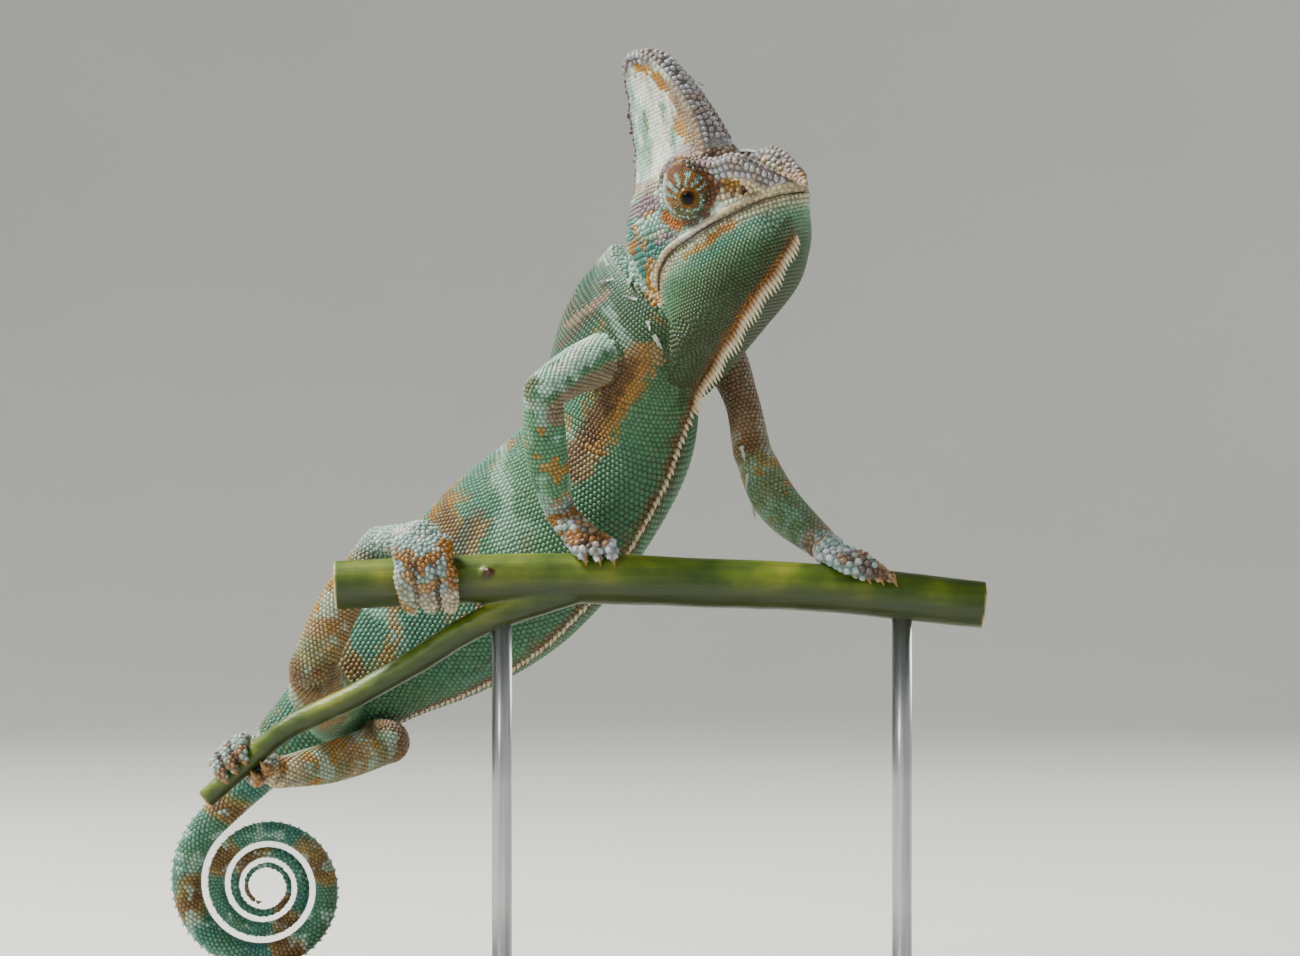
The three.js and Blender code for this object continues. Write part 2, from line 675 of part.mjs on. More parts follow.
function perchSolid(perch, grow) {
  const sides = 12;
  const steps = 10;
  const last = perch.path.length - 1;
  const points = [];
  const widths = [];
  for (let i = 0; i <= steps; i += 1) {
    const s = (i / steps) * last;
    points.push(pointThrough(perch.path, s));
    widths.push(through(perch.radii, s) + grow);
  }
  points[0].addScaledVector(directionThrough(perch.path, 0), -grow);
  points[steps].addScaledVector(directionThrough(perch.path, last), grow);
  return tube(points, widths, sides);
}

function baseSolid() {
  const { width, depth, height, corner, bevel } = BASE;
  const halfWidth = width / 2 - bevel;
  const halfDepth = depth / 2 - bevel;
  const shape = new THREE.Shape();
  const inset = corner - bevel;
  shape.moveTo(-halfWidth + inset, -halfDepth);
  shape.absarc(halfWidth - inset, -halfDepth + inset, inset, -Math.PI / 2, 0);
  shape.absarc(halfWidth - inset, halfDepth - inset, inset, 0, Math.PI / 2);
  shape.absarc(-halfWidth + inset, halfDepth - inset, inset, Math.PI / 2, Math.PI);
  shape.absarc(-halfWidth + inset, -halfDepth + inset, inset, Math.PI, 1.5 * Math.PI);
  const geometry = new THREE.ExtrudeGeometry(shape, {
    depth: height - 2 * bevel, bevelThickness: bevel, bevelSize: bevel, bevelSegments: 1, curveSegments: 4,
  });
  geometry.translate(0, 0, bevel);
  return fromGeometry(geometry);
}

// A rod from the base up to the branch's middle, with a turned foot.
function rodSolid(x) {
  const bottom = BASE.height + JOIN_GAP;
  const along = BRANCH.path.map((p) => p[0]);
  let s = 0;
  while (through(along, s) < x) s += 0.005;
  const top = pointThrough(BRANCH.path, s);
  const { radius, footRadius, footHeight } = ROD;
  const profile = [
    [0, bottom], [footRadius, bottom], [footRadius, bottom + footHeight * 0.6],
    [footRadius * 0.8, bottom + footHeight], [radius, bottom + footHeight * 1.3],
    [radius, top.z], [0, top.z],
  ].map(([r, z]) => new THREE.Vector2(r, z));
  const geometry = new THREE.LatheGeometry(profile, 14);
  geometry.rotateX(Math.PI / 2);
  geometry.translate(x, top.y, 0);
  return fromGeometry(geometry);
}

// ---------------------------------------------------------------- limbs

function perchFrame(perch, share) {
  const s = share * (perch.path.length - 1);
  const centre = pointThrough(perch.path, s);
  const axis = directionThrough(perch.path, s);
  const up = new THREE.Vector3(0, 0, 1).addScaledVector(axis, -axis.z).normalize();
  const front = axis.clone().cross(up).normalize();
  if (front.y > 0) front.negate();
  return { centre, axis, up, front, radius: through(perch.radii, s) };
}

// A place beside the perch: angle from straight up towards -Y, distance out, distance along.
function perchPlace(frame, angle, out, along) {
  const turn = radians(angle);
  return frame.centre.clone()
    .addScaledVector(frame.axis, along)
    .addScaledVector(frame.up, out * Math.cos(turn))
    .addScaledVector(frame.front, out * Math.sin(turn));
}

// Where a toe's middle lies at a share of its way round the perch.
function toePlace(frame, grip, toe, lane, width, t) {
  const angle = grip.palm + toe.from + (toe.to - toe.from) * t;
  const along = lane * (TOE_SPREAD.root + (TOE_SPREAD.tip - TOE_SPREAD.root) * t) + toe.drift * t;
  return perchPlace(frame, angle, frame.radius + TOE_CLEAR + width, along);
}

function toePad(frame, grip, toe, toeRadius) {
  const steps = 4;
  const sides = 8;
  const rings = [];
  for (let i = 0; i <= steps; i += 1) {
    const t = (TOES_PART * i) / steps;
    const thick = toeRadius * (1 - 0.3 * t);
    const wide = toeRadius * (toe.count * 0.72 + 0.3) * (1 + (TOE_SPREAD.tip - TOE_SPREAD.root) * t);
    const middle = toePlace(frame, grip, toe, 0, thick, t);
    const ahead = toePlace(frame, grip, toe, 0, thick, t + 0.02);
    const direction = ahead.sub(middle).normalize();
    const out = middle.clone().sub(frame.centre);
    out.addScaledVector(frame.axis, -out.dot(frame.axis)).normalize();
    const across = out.clone().cross(direction).normalize();
    rings.push(Array.from({ length: sides }, (_, k) => {
      const angle = (2 * Math.PI * (k + 0.5)) / sides;
      return middle.clone()
        .addScaledVector(across, wide * signedPower(Math.cos(angle), 0.8))
        .addScaledVector(out, thick * signedPower(Math.sin(angle), 0.8));
    }));
  }
  return loft(rings);
}

// One toe's free end, and its claw, which curves down to the perch.
function toeSolids(frame, grip, toe, index, toeRadius) {
  const steps = 2;
  const start = TOES_PART - 0.12;
  const lane = (index - (toe.count - 1) / 2) * toeRadius * 1.96;
  const points = [];
  const widths = [];
  for (let i = 0; i <= steps; i += 1) {
    const t = start + ((1 - start) * i) / steps;
    const width = toeRadius * (1 - 0.3 * t) * (i === steps ? 0.62 : 0.98);
    points.push(toePlace(frame, grip, toe, lane, width, t));
    widths.push(width);
  }
  const clawPoints = [];
  const clawWidths = [];
  const way = Math.sign(toe.to - toe.from);
  for (const t of [0, 0.5, 1]) {
    const angle = grip.palm + toe.to + way * (CLAW.reach * t - 6);
    const out = frame.radius + JOIN_GAP + 0.2 + CLAW.rise * Math.cos((Math.PI / 2) * t);
    clawPoints.push(perchPlace(frame, angle, out, lane * TOE_SPREAD.tip + toe.drift * (1 + 0.15 * t)));
    clawWidths.push(CLAW.radius * (1 - t) + CLAW.tip);
  }
  return [tube(points, widths, 6), tube(clawPoints, clawWidths, 4)];
}

function footSolid(limb) {
  const { grip, toeRadius, lowerPath, lowerRadii } = limb;
  const frame = perchFrame(grip.on, grip.along);
  const wrist = vector(lowerPath[lowerPath.length - 1]);
  const wristRadius = lowerRadii[lowerRadii.length - 1];
  const palm = perchPlace(frame, grip.palm, frame.radius + toeRadius * 1.25, 0);
  const middle = wrist.clone().lerp(palm, 0.55);
  const solids = [tube([wrist, middle, palm], [wristRadius, wristRadius * 1.05, toeRadius * 1.5], 8)];
  for (const toe of grip.toes) {
    solids.push(toePad(frame, grip, toe, toeRadius));
    for (let index = 0; index < toe.count; index += 1) {
      solids.push(...toeSolids(frame, grip, toe, index, toeRadius));
    }
  }
  const palmBall = new THREE.SphereGeometry(toeRadius * 1.7, 7, 5);
  palmBall.translate(palm.x, palm.y, palm.z);
  return union([...solids, fromGeometry(palmBall)]);
}

// The three nodes of a limb, each cut clear of the body, the perch and the parts made before it.
function limbSolids(limb, taken) {
  const upper = (grow) => limbTube(limb.upperPath, limb.upperRadii, grow, 10);
  const lower = (grow) => limbTube(limb.lowerPath, limb.lowerRadii, grow, 10);
  const upperCut = largest(upper(0).subtract(taken));
  const lowerCut = largest(lower(0).subtract(taken).subtract(upper(JOIN_GAP)));
  const grown = taken.add(upper(JOIN_GAP)).add(lower(JOIN_GAP));
  return { nodes: [upperCut, lowerCut, largest(footSolid(limb).subtract(grown))], grown };
}

// ---------------------------------------------------------------- assembly

const MATERIALS = {
  skin: { color: 0x7fae93, roughness: 0.75 },
  limb_skin: { color: 0xa99a76, roughness: 0.75 },
  eye_skin: { color: 0xb98548, roughness: 0.7 },
  eye: { color: 0x241a10, roughness: 0.1 },
  bark: { color: 0x7f8f36, roughness: 0.6 },
  wood: { color: 0x6d4a2f, roughness: 0.5 },
  steel: { color: 0xb9bcc0, roughness: 0.3 },
};

const group = new THREE.Group();

function addNode(name, solid, materialName) {
  const data = solid.getMesh();
  const geometry = new THREE.BufferGeometry();
  geometry.setAttribute("position", new THREE.BufferAttribute(new Float32Array(data.vertProperties), 3));
  geometry.setIndex(new THREE.BufferAttribute(new Uint32Array(data.triVerts), 1));
  const { color, roughness } = MATERIALS[materialName];
  const material = new THREE.MeshStandardMaterial({ name: materialName, color, roughness });
  const mesh = new THREE.Mesh(geometry, material);
  mesh.name = name;
  group.add(mesh);
}

const headGrown = union([headSolid(JOIN_GAP), ...gularSpines(JOIN_GAP)]);
const trunkLength = TRUNK.length - 1;
const trunkGrown = union([
  trunkSolid(0, trunkLength, JOIN_GAP), headGrown, ...crestRows(0, trunkLength, JOIN_GAP),
]);
const branchGrown = perchSolid(BRANCH, JOIN_GAP);
const twig = perchSolid(TWIG, 0).subtract(branchGrown);
const perchGrown = branchGrown.add(perchSolid(TWIG, JOIN_GAP));

addNode("head", buildHead(), "skin");
for (const [label, side] of [["right", -1], ["left", 1]]) {
  const turret = turretSolid(side, 0).subtract(eyeballSolid(side, JOIN_GAP));
  addNode(`eye_turret_${label}`, largest(turret), "eye_skin");
  addNode(`eye_${label}`, eyeballSolid(side, 0), "eye");
}

const stationLength = 18;
const halfGap = JOIN_GAP / 2 / stationLength;
for (const { name, from, to } of TRUNK_PARTS) {
  const start = from > 0 ? from + halfGap : from;
  const end = to < trunkLength ? to - halfGap : to;
  const pieces = [trunkSolid(start, end, 0), ...crestRows(from, to, 0)];
  addNode(name, largest(union(pieces).subtract(headGrown)), "skin");
}

TAIL_CUTS.slice(1).forEach((to, i) => {
  const from = i === 0 ? -TAIL.runTurns : TAIL_CUTS[i];
  const turnLength = 2 * Math.PI * TAIL.coilRadius * TAIL.coilShrink ** from;
  const gap = JOIN_GAP / turnLength;
  const piece = i === 0 ? largest(tailSolid(from, to).subtract(trunkGrown)) : tailSolid(from + gap, to);
  addNode(`tail_${i + 1}`, piece, "skin");
});

let taken = trunkGrown.add(perchGrown);
for (const limb of LIMBS) {
  const { nodes, grown } = limbSolids(limb, taken);
  [limb.upper, limb.lower, limb.end].forEach((name, i) => {
    addNode(`${name}_${limb.side}`, nodes[i], "limb_skin");
  });
  taken = grown;
}

addNode("perch_branch", perchSolid(BRANCH, 0), "bark");
addNode("perch_twig", largest(twig), "bark");
addNode("stand_base", baseSolid(), "wood");
for (const [label, x] of Object.entries(ROD.places)) {
  addNode(`stand_rod_${label}`, largest(rodSolid(x).subtract(perchGrown)), "steel");
}

export default group;
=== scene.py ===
"""Visual model of a veiled chameleon gripping a cut branch on a plain display stand."""

import math

import bpy
import numpy as np
from mathutils import Matrix, Vector
from mathutils.bvhtree import BVHTree
from mathutils.kdtree import KDTree


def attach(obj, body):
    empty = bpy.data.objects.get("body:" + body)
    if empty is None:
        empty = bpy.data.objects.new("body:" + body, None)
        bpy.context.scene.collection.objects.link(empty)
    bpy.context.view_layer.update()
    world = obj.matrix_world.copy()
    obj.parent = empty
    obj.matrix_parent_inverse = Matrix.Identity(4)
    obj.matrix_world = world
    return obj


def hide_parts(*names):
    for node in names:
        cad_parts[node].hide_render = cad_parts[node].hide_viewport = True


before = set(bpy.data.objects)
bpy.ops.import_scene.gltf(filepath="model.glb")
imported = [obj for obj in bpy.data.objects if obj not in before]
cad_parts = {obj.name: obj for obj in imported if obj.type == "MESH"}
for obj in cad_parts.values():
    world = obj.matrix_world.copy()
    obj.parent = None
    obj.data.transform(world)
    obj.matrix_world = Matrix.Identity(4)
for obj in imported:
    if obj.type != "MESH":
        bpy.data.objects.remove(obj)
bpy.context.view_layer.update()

bl_info = {
    "name": "Veiled chameleon model",
    "version": (1, 0, 0),
    "blender": (4, 5, 0),
    "location": "3D View > Sidebar > Chameleon",
    "description": "Skin, scales, crests, eyes, perch and stand of a life-size veiled chameleon",
    "category": "Add Mesh",
}

# ------------------------------------------------------------------ driving dimensions, mostly in mm

MM = 0.001

TRUNK_AT = np.array([
    [17.5, -6, 198.6], [11.3, -2, 188.8], [8.5, 3, 176.7], [5.2, 9, 159.4], [-6.4, 15, 142.5],
    [-21, 20, 128.8], [-37.2, 25, 115.5], [-53.9, 29, 103.1], [-69, 32, 89.6], [-82.4, 35, 78.4],
])
TRUNK_DEPTH = np.array([20, 22, 23.6, 25.6, 27.4, 28.4, 24.5, 18.5, 12.5, 8.5])
TRUNK_WIDTH = np.array([11.5, 13, 15, 15, 15, 15.5, 14.5, 12.5, 10.5, 7.5])
TRUNK_TILT = np.radians([48, 50, 52, 50, 43, 38, 31, 24, 18, 15])
TRUNK_POWER = 2.25
TRUNK_END = len(TRUNK_AT) - 1

TAIL_CENTRE = np.array([-86.3, 35, 42.6])
TAIL_START = math.radians(130)
TAIL_RUN = 0.22
TAIL_TURNS = 3.35
COIL_RADIUS = 22
COIL_SHRINK = 0.62
TAIL_RADIUS = 4.3
TAIL_THIN = 0.6
TAIL_BASE = 7.6

HEAD_AT = np.array([27.6, -16, 207.6])
HEAD_YAW, HEAD_PITCH, HEAD_ROLL = math.radians(40), math.radians(16), math.radians(9)
HEAD_B = np.array([
    -34.5, -30, -23, -16.5, -10, -5, 0, 3.5, 5.5, 8.5, 12, 16.5, 21, 29, 40, 48.5, 52.3])
HEAD_BACK = np.array([
    -19, -20.5, -21, -21, -21, -21, -21, -20.6, -20.2, -19.5, -18.4, -16.5, -14, -11, -8.2, -6, -2.5])
HEAD_FRONT = np.array([
    -14, -7.5, 5.8, 19.5, 26.4, 30.5, 34.6, 37.6, 36.4, 32, 27, 22, 19.4, 17, 13.4, 9.8, 5])
HEAD_HALF = np.array([
    5, 11.5, 15.5, 16.3, 16.2, 15.8, 14.6, 13.5, 12.9, 12, 11, 9.8, 7.8, 5.2, 4.1, 3.4, 1.9])
HEAD_PEAK = np.array([
    0.5, 0.6, 0.66, 0.66, 0.64, 0.56, 0.42, 0.32, 0.28, 0.3, 0.36, 0.5, 0.68, 0.8, 0.82, 0.76, 0.55])
HEAD_BLUNT_BACK = np.array([
    0.6, 0.8, 0.85, 0.8, 0.7, 0.6, 0.5, 0.5, 0.5, 0.5, 0.5, 0.6, 0.75, 0.85, 0.85, 0.7, 0.5])
HEAD_BLUNT_FRONT = np.array([
    0.45, 0.32, 0.25, 0.24, 0.24, 0.27, 0.4, 0.5, 0.42, 0.36, 0.34, 0.36, 0.42, 0.45, 0.45, 0.5, 0.5])

MOUTH = np.array([
    [37.4, 3.2], [32.8, 4.3], [25, 4.3], [15.5, 3.1], [8.4, 1.7], [1.3, 0], [-3.8, -3.1], [-7.4, -7]])
LIP_RADII = np.array([0.7, 1, 1.1, 1.1, 1])
MOUTH_CREASE_RADII = [0.09, 0.15, 0.19, 0.22, 0.22, 0.22, 0.2, 0.12]
BROW = np.array([
    [1, 19, 6.6], [9.5, 21.2, 8.2], [19, 17, 8.8], [25.6, 16.2, 8.4], [31.5, 10.4, 6.2], [36.2, 5.8, 2.2]])
BROW_RADII = np.array([1.2, 1.9, 2, 1.9, 1.7, 1])
BROW_UNDER_RADII = np.array([1.4, 2, 2.6, 2.8, 2.4, 1])
CREST_LINE = np.array([
    [15.2, 20.5, 5.4], [14.2, 30, 3.4], [10.7, 41, 2.8], [5.4, 49.4, 2.2], [-0.6, 52, 1.4], [-4.9, 49, 0.8]])
CREST_LINE_RADII = np.array([1.7, 1.8, 1.6, 1.5, 1.3, 1])
NOSTRIL = (24.5, 8.4)
THROAT_CREST = np.array([
    (51.2, 210.8), (48.2, 205.3), (46.1, 201.9), (43.7, 198.6), (41.3, 195.7), (38.6, 191.9), (36.5, 188),
    (33.6, 183.7), (31.2, 179.4), (28.8, 175.1), (26.4, 171.2), (25.7, 167.9)])
EYE_CENTRE = (8.8, 13.1, 8.3)
EYE_AXIS = (0.47, -0.23, 0.85)
EYE_RIM_AXIS = (0.28, 0.05, 0.96)
TURRET = (6.8, 8.7, 7.4)
EYE_OUT = 4.9

BRANCH_PATH = np.array([
    [-63.8, -28, 123.2], [-27.5, -28, 124.8], [2.5, -28, 124.8], [27.5, -28, 123.8], [57.5, -28, 122.5],
    [98.8, -28, 118.2]])
BRANCH_RADII = np.array([6.2, 6.3, 6.5, 6.3, 6.2, 6])
BUD = (-25.8, 74, 1.5)
TWIG_PATH = np.array([
    [-3.7, -29, 122.5], [-27.5, -28, 113.8], [-44.3, -26, 103.7], [-61, -24, 94.3], [-75.5, -21, 87.4],
    [-85, -19, 79.7], [-97.2, -18, 68.8]])
TWIG_RADII = np.array([4.2, 3.6, 3.4, 3.2, 3, 2.8, 2.6])

# Each limb: centre lines and radii from the body out, then the grip. A toe group is how many
# toes, the angles round the perch from its top towards -Y, and how far it drifts along.
LIMBS = {
    "arm_right": {
        "upper": ([[11, -4, 183], [-2, -17, 178], [-11.8, -28, 171.5]], [7.6, 6.2, 5.2]),
        "lower": ([[-11.8, -28, 171.5], [-11, -25.5, 156], [-7.6, -20.5, 141]], [5, 5.4, 3.8]),
        "perch": "branch", "along": 0.372, "palm": 0, "toe_radius": 2.5,
        "toes": [(3, -16, 52, 3.5), (2, -24, -128, 3)],
        "nodes": ("upper_arm_right", "forearm_right", "hand_right"),
    },
    "arm_left": {
        "upper": ([[18, 13, 182], [32, 10, 182], [38.2, 5, 171], [41.2, 0, 156.5]], [8.5, 6.6, 4.6, 5]),
        "lower": ([[41.2, 0, 156.5], [47.6, -7, 143.5], [60, -19, 132]], [4.9, 5.8, 3.9]),
        "perch": "branch", "along": 0.81, "palm": 0, "toe_radius": 2.3,
        "toes": [(3, 8, 62, 12), (2, -18, -124, 8)],
        "nodes": ("upper_arm_left", "forearm_left", "hand_left"),
    },
    "leg_right": {
        "upper": ([[-67, 24, 89], [-69.5, 3, 95], [-70.3, -16, 102]], [8.5, 7.8, 6]),
        "lower": ([[-70.3, -16, 102], [-63.5, -15, 118], [-53.5, -15, 133.5]], [5.8, 5.6, 4.4]),
        "perch": "branch", "along": 0.12, "palm": 10, "toe_radius": 3.3,
        "toes": [(3, 10, 136, 2), (2, -24, -156, 4)],
        "nodes": ("thigh_right", "shank_right", "foot_right"),
    },
    "leg_left": {
        "upper": ([[-70, 37, 86], [-61, 29, 82], [-52.9, 16, 81.6]], [7.5, 7, 5.8]),
        "lower": ([[-52.9, 16, 81.6], [-66.5, 7, 77], [-80, -1, 74.5]], [5.6, 5.4, 4]),
        "perch": "twig", "along": 0.865, "palm": -60, "toe_radius": 2.4,
        "toes": [(3, 14, 150, 2), (2, -16, -150, -2)],
        "nodes": ("thigh_left", "shank_left", "foot_left"),
    },
}
TOES_PART = 0.62
TOE_SPREAD = (0.95, 0.72)
TOE_CLEAR = 0.55

BASE_SIZE = (176, 104, 14)
BASE_CORNER = 12
ROD_RADIUS = 2.5
ROD_PLACES = {"left": -22, "right": 78}

SKIN_TRIANGLES = 188000
SKIN_EASING = (0.6, 12)
# Height, distance and half width of the dents and swellings of lips and nostrils.
MOUTH_GROOVE = (-0.9, 0, 0.55)
NOSTRIL_PIT = (-1.6, 0, 0.7)
NOSTRIL_RIM = (0.5, 1.5, 0.5)
# How near scales may stand to the mouth's line, to a nostril's middle and to an eye's middle.
MOUTH_CLEAR = 0.45
NOSTRIL_CLEAR = 0.95
EYE_CLEAR = 2.45
# How far from the skin a place of a row may lie, on limbs and lids, on the body and for large scales.
LIMB_REACH, BODY_REACH, LARGE_REACH = 0.9, 1.3, 2.5
# Share of their sizes that scales keep apart, in rows and between them.
ROW_SHARE, FREE_SHARE = 0.78, 0.84
# How far from a grip's middle the hands' larger scales and the feet's own scales reach.
HAND_REACH, FOOT_REACH = 15, 17
# Places tried between the rows and rounds of pushing apart, in quick and in full runs.
TRIED_PLACES = {True: 90000, False: 240000}
PUSH_ROUNDS = {True: 1, False: 3}
# How far apart free scales must be, and how crowded scales are pushed, against their sizes.
FREE_GAP, PUSH_SHARE, FIXED_SHARE, LONGEST_PUSH = 0.8, 0.45, 0.15, 0.3
# A scale's shape: its widest reach and filled share, its depth below the skin in mm, the shares of its own
# and its mean reach in the shoulder, the shoulder's reach and height, and the strength of the painted
# highlight on its crown.
WIDEST_REACH, FILLED_SHARE, ROOT_DEPTH = 0.68, 0.98, 0.14
OWN_REACH, MEAN_REACH = 0.55, 0.45
SHOULDER_REACH, SHOULDER_HEIGHT, CROWN_PAINTED_HIGHLIGHT = 0.72, 0.66, 0.6
# Spacing, length and width of spines.
THROAT_SPINES = (1.15, 4.8, 0.92)
TAIL_SPINES = (2.1, 1.2, 0.7)
# The mouth's crease: its step, how far beside it the skin is felt, its lift and its smoothing.
CREASE_STEP, CREASE_BESIDE, CREASE_LIFT, CREASE_WINDOW = 0.6, 1.5, 0.12, 9
CLAW_CLEAR, CLAW_TIP, CLAW_ROOT = 0.45, 0.12, 0.85
SHED_LIFT, SHED_THICKNESS = 0.42, 0.12
TOE_THIN = 0.3
PERCH_TRIANGLES = 90000
PERCH_DETAIL = 0.55
PERCH_EASING = (0.55, 6)
CUT_END_REACH = 8
VIEW_SIDE = -120

# The stage, in metres.
LIGHT_TARGET = (0.01, 0, 0.17)
LIGHTS = (
    ("key", (-0.8, 0.15, 1.3), 50, 0.4, (1, 0.96, 0.88)),
    ("front", (-0.9, -1.4, 0.8), 6, 0.3, (0.96, 0.98, 1)),
    ("rim", (0.9, 0.9, 0.6), 6, 0.5, (0.9, 0.96, 1)),
)
SKY_COLOUR, SKY_STRENGTH = (0.9, 0.95, 1, 1), 0.15
CAMERA_PLACE = (0.015, -1.228, 0.150)
SENSOR_WIDTH, FOCAL_LENGTH = 36, 132.9

FLESH_NODES = ["head", "eye_turret_right", "eye_turret_left", "neck", "chest", "belly", "loin", "pelvis"]
FLESH_NODES += [f"tail_{i}" for i in range(1, 10)]
FLESH_NODES += [node for limb in LIMBS.values() for node in limb["nodes"]]


# ------------------------------------------------------------------ numbers and vectors


def tone(code):
    """A colour given as six hex figures, as the linear numbers that shaders take."""
    parts = np.array([int(code[i:i + 2], 16) / 255 for i in (0, 2, 4)])
    return np.where(parts > 0.04045, ((parts + 0.055) / 1.055) ** 2.4, parts / 12.92)


def unit(v):
    """Directions scaled to a length of one."""
    return v / np.maximum(np.linalg.norm(v, axis=-1, keepdims=True), 1e-12)


def signed_power(value, power):
    """A power of a number's size that keeps its sign."""
    return np.sign(value) * np.abs(value) ** power


def through(values, s):
    """Smooth values through evenly numbered samples, at places s."""
    values = np.asarray(values, float)
    s = np.atleast_1d(np.asarray(s, float))
    flat = values.ndim == 1
    if flat:
        values = values[:, None]
    last = len(values) - 1
    i = np.clip(np.floor(s).astype(int), 0, last - 1)
    t = (s - i)[:, None]
    p1, p2 = values[i], values[i + 1]
    p0 = np.where((i > 0)[:, None], values[np.maximum(i - 1, 0)], 2 * p1 - p2)
    p3 = np.where((i < last - 1)[:, None], values[np.minimum(i + 2, last)], 2 * p2 - p1)
    out = 0.5 * (2 * p1 + (p2 - p0) * t + (2 * p0 - 5 * p1 + 4 * p2 - p3) * t * t
                 + (-p0 + 3 * p1 - 3 * p2 + p3) * t ** 3)
    return out[:, 0] if flat else out


def way_through(points, s):
    """Unit direction of travel along a smooth line at places s."""
    last = len(points) - 1
    s = np.atleast_1d(np.asarray(s, float))
    return unit(through(points, np.minimum(s + 0.02, last)) - through(points, np.maximum(s - 0.02, 0)))


def drawn(values, count):
    """Smooth values at a count of even places from the first sample to the last."""
    return through(values, np.linspace(0, len(values) - 1, count))


def full_turn(count):
    """Angles of a count of even places round a circle."""
    return 2 * np.pi * np.arange(count) / count


def travelled(line):
    """How far along a line each of its places lies."""
    return np.concatenate([[0], np.cumsum(np.linalg.norm(np.diff(line, axis=0), axis=1))])


def at_lengths(line, along, at):
    """Places on a line at given lengths along it."""
    return np.stack([np.interp(at, along, line[:, axis]) for axis in range(3)], axis=1)


def cloud(points, size, seed=0, octaves=2):
    """Smooth seeded noise from about -1 to 1, with bumps of about the given size."""
    total = np.zeros(len(points))
    weight = 0
    for octave in range(octaves):
        at = points * (2 ** octave) / size + 17.3 * (seed + octave + 1)
        cell = np.floor(at).astype(np.int64)
        t = at - cell
        t = t * t * (3 - 2 * t)
        value = np.zeros(len(points))
        for corner in np.ndindex(2, 2, 2):
            c = cell + np.array(corner)
            n = (c[:, 0] * 73856093) ^ (c[:, 1] * 19349663) ^ (c[:, 2] * 83492791) ^ (seed * 2654435)
            n = (n * 1103515245 + 12345) & 0x7FFFFFFF
            n = ((n >> 13) ^ n) * 69069 & 0x7FFFFFFF
            share = np.prod(np.where(np.array(corner) == 1, t, 1 - t), axis=1)
            value += share * ((n >> 8) % 4096 / 2048 - 1)
        total += value / 2 ** octave
        weight += 1 / 2 ** octave
    return 1.6 * total / weight


def ease(low, high, value):
    """0 below low, 1 above high, and smooth between them."""
    t = np.clip((value - low) / (high - low), 0, 1)
    return t * t * (3 - 2 * t)


def bump(middle, half, value):
    """1 at the middle, falling smoothly to nothing at a half width away."""
    return np.clip(1 - ((value - middle) / half) ** 2, 0, 1) ** 2


def blend_in(colour, share, other):
    """Mixes rows of colour with another colour by a share for each row."""
    return colour + (np.asarray(other) - colour) * np.clip(share, 0, 1)[:, None]


def layered(colour, *layers):
    """Blends colours over rows of colour in turn, each given after its share of each row."""
    for share, other in layers:
        colour = blend_in(colour, share, other)
    return colour


def tree_of(points):
    """A quick search over points."""
    tree = KDTree(len(points))
    for i, p in enumerate(points):
        tree.insert(p, i)
    tree.balance()
    return tree


def nearest(tree, points):
    """Index of, and distance to, the tree's nearest point for each point."""
    found = [tree.find(p) for p in points]
    return np.array([f[1] for f in found]), np.array([f[2] for f in found])


# ------------------------------------------------------------------ the body's own frames


def trunk_frames(s):
    """Centre, direction, belly side and left side of the trunk at stations s."""
    s = np.atleast_1d(np.asarray(s, float))
    centre = through(TRUNK_AT, s)
    tangent = way_through(TRUNK_AT, s)
    tilt = through(TRUNK_TILT, s)
    belly = np.stack([-tangent[:, 2], np.zeros(len(s)), tangent[:, 0]], axis=1)
    belly = unit(belly) * np.cos(tilt)[:, None]
    belly[:, 1] -= np.sin(tilt)
    belly = unit(belly - tangent * np.sum(belly * tangent, axis=1, keepdims=True))
    left = unit(np.cross(belly, tangent))
    return centre, tangent, belly, left


def trunk_rings(s, angles, grow):
    """Rings of the trunk; angle 0 is the middle of the belly."""
    s = np.atleast_1d(np.asarray(s, float))
    centre, _, belly, left = trunk_frames(s)
    power = 2 / TRUNK_POWER
    depth = (through(TRUNK_DEPTH, s) + grow)[:, None] * signed_power(np.cos(angles), power)[None]
    width = (through(TRUNK_WIDTH, s) + grow)[:, None] * signed_power(np.sin(angles), power)[None]
    return centre[:, None] + belly[:, None] * depth[..., None] + left[:, None] * width[..., None]


def coil_points(turn):
    """Places on the tail's flat coil after whole turns."""
    angle = TAIL_START + 2 * math.pi * turn
    radius = COIL_RADIUS * COIL_SHRINK ** turn
    return TAIL_CENTRE + np.stack(
        [radius * np.cos(angle), np.zeros(len(turn)), radius * np.sin(angle)], axis=1)


def tail_points(s):
    """The tail's centre line; s below 0 is the run from the vent, then whole turns."""
    s = np.atleast_1d(np.asarray(s, float))
    start = through(TRUNK_AT, TRUNK_END)[0]
    heading = way_through(TRUNK_AT, TRUNK_END)[0]
    entry, after = coil_points(np.array([0, 0.01]))
    leaving = unit(after - entry)
    reach = np.linalg.norm(entry - start)
    t = (1 + np.minimum(s, 0) / TAIL_RUN)[:, None]
    run = (start * (2 * t ** 3 - 3 * t ** 2 + 1) + heading * reach * (t ** 3 - 2 * t ** 2 + t)
           + entry * (-2 * t ** 3 + 3 * t ** 2) + leaving * reach * (t ** 3 - t ** 2))
    return np.where((s < 0)[:, None], run, coil_points(np.maximum(s, 0)))


def tail_radii(s):
    """Half thickness of the tail, thinner with every turn."""
    on_run = TAIL_RADIUS + (TAIL_BASE - TAIL_RADIUS) * np.clip(-s / TAIL_RUN, 0, 1) ** 1.3
    return np.where(s < 0, on_run, TAIL_RADIUS * TAIL_THIN ** np.maximum(s, 0))


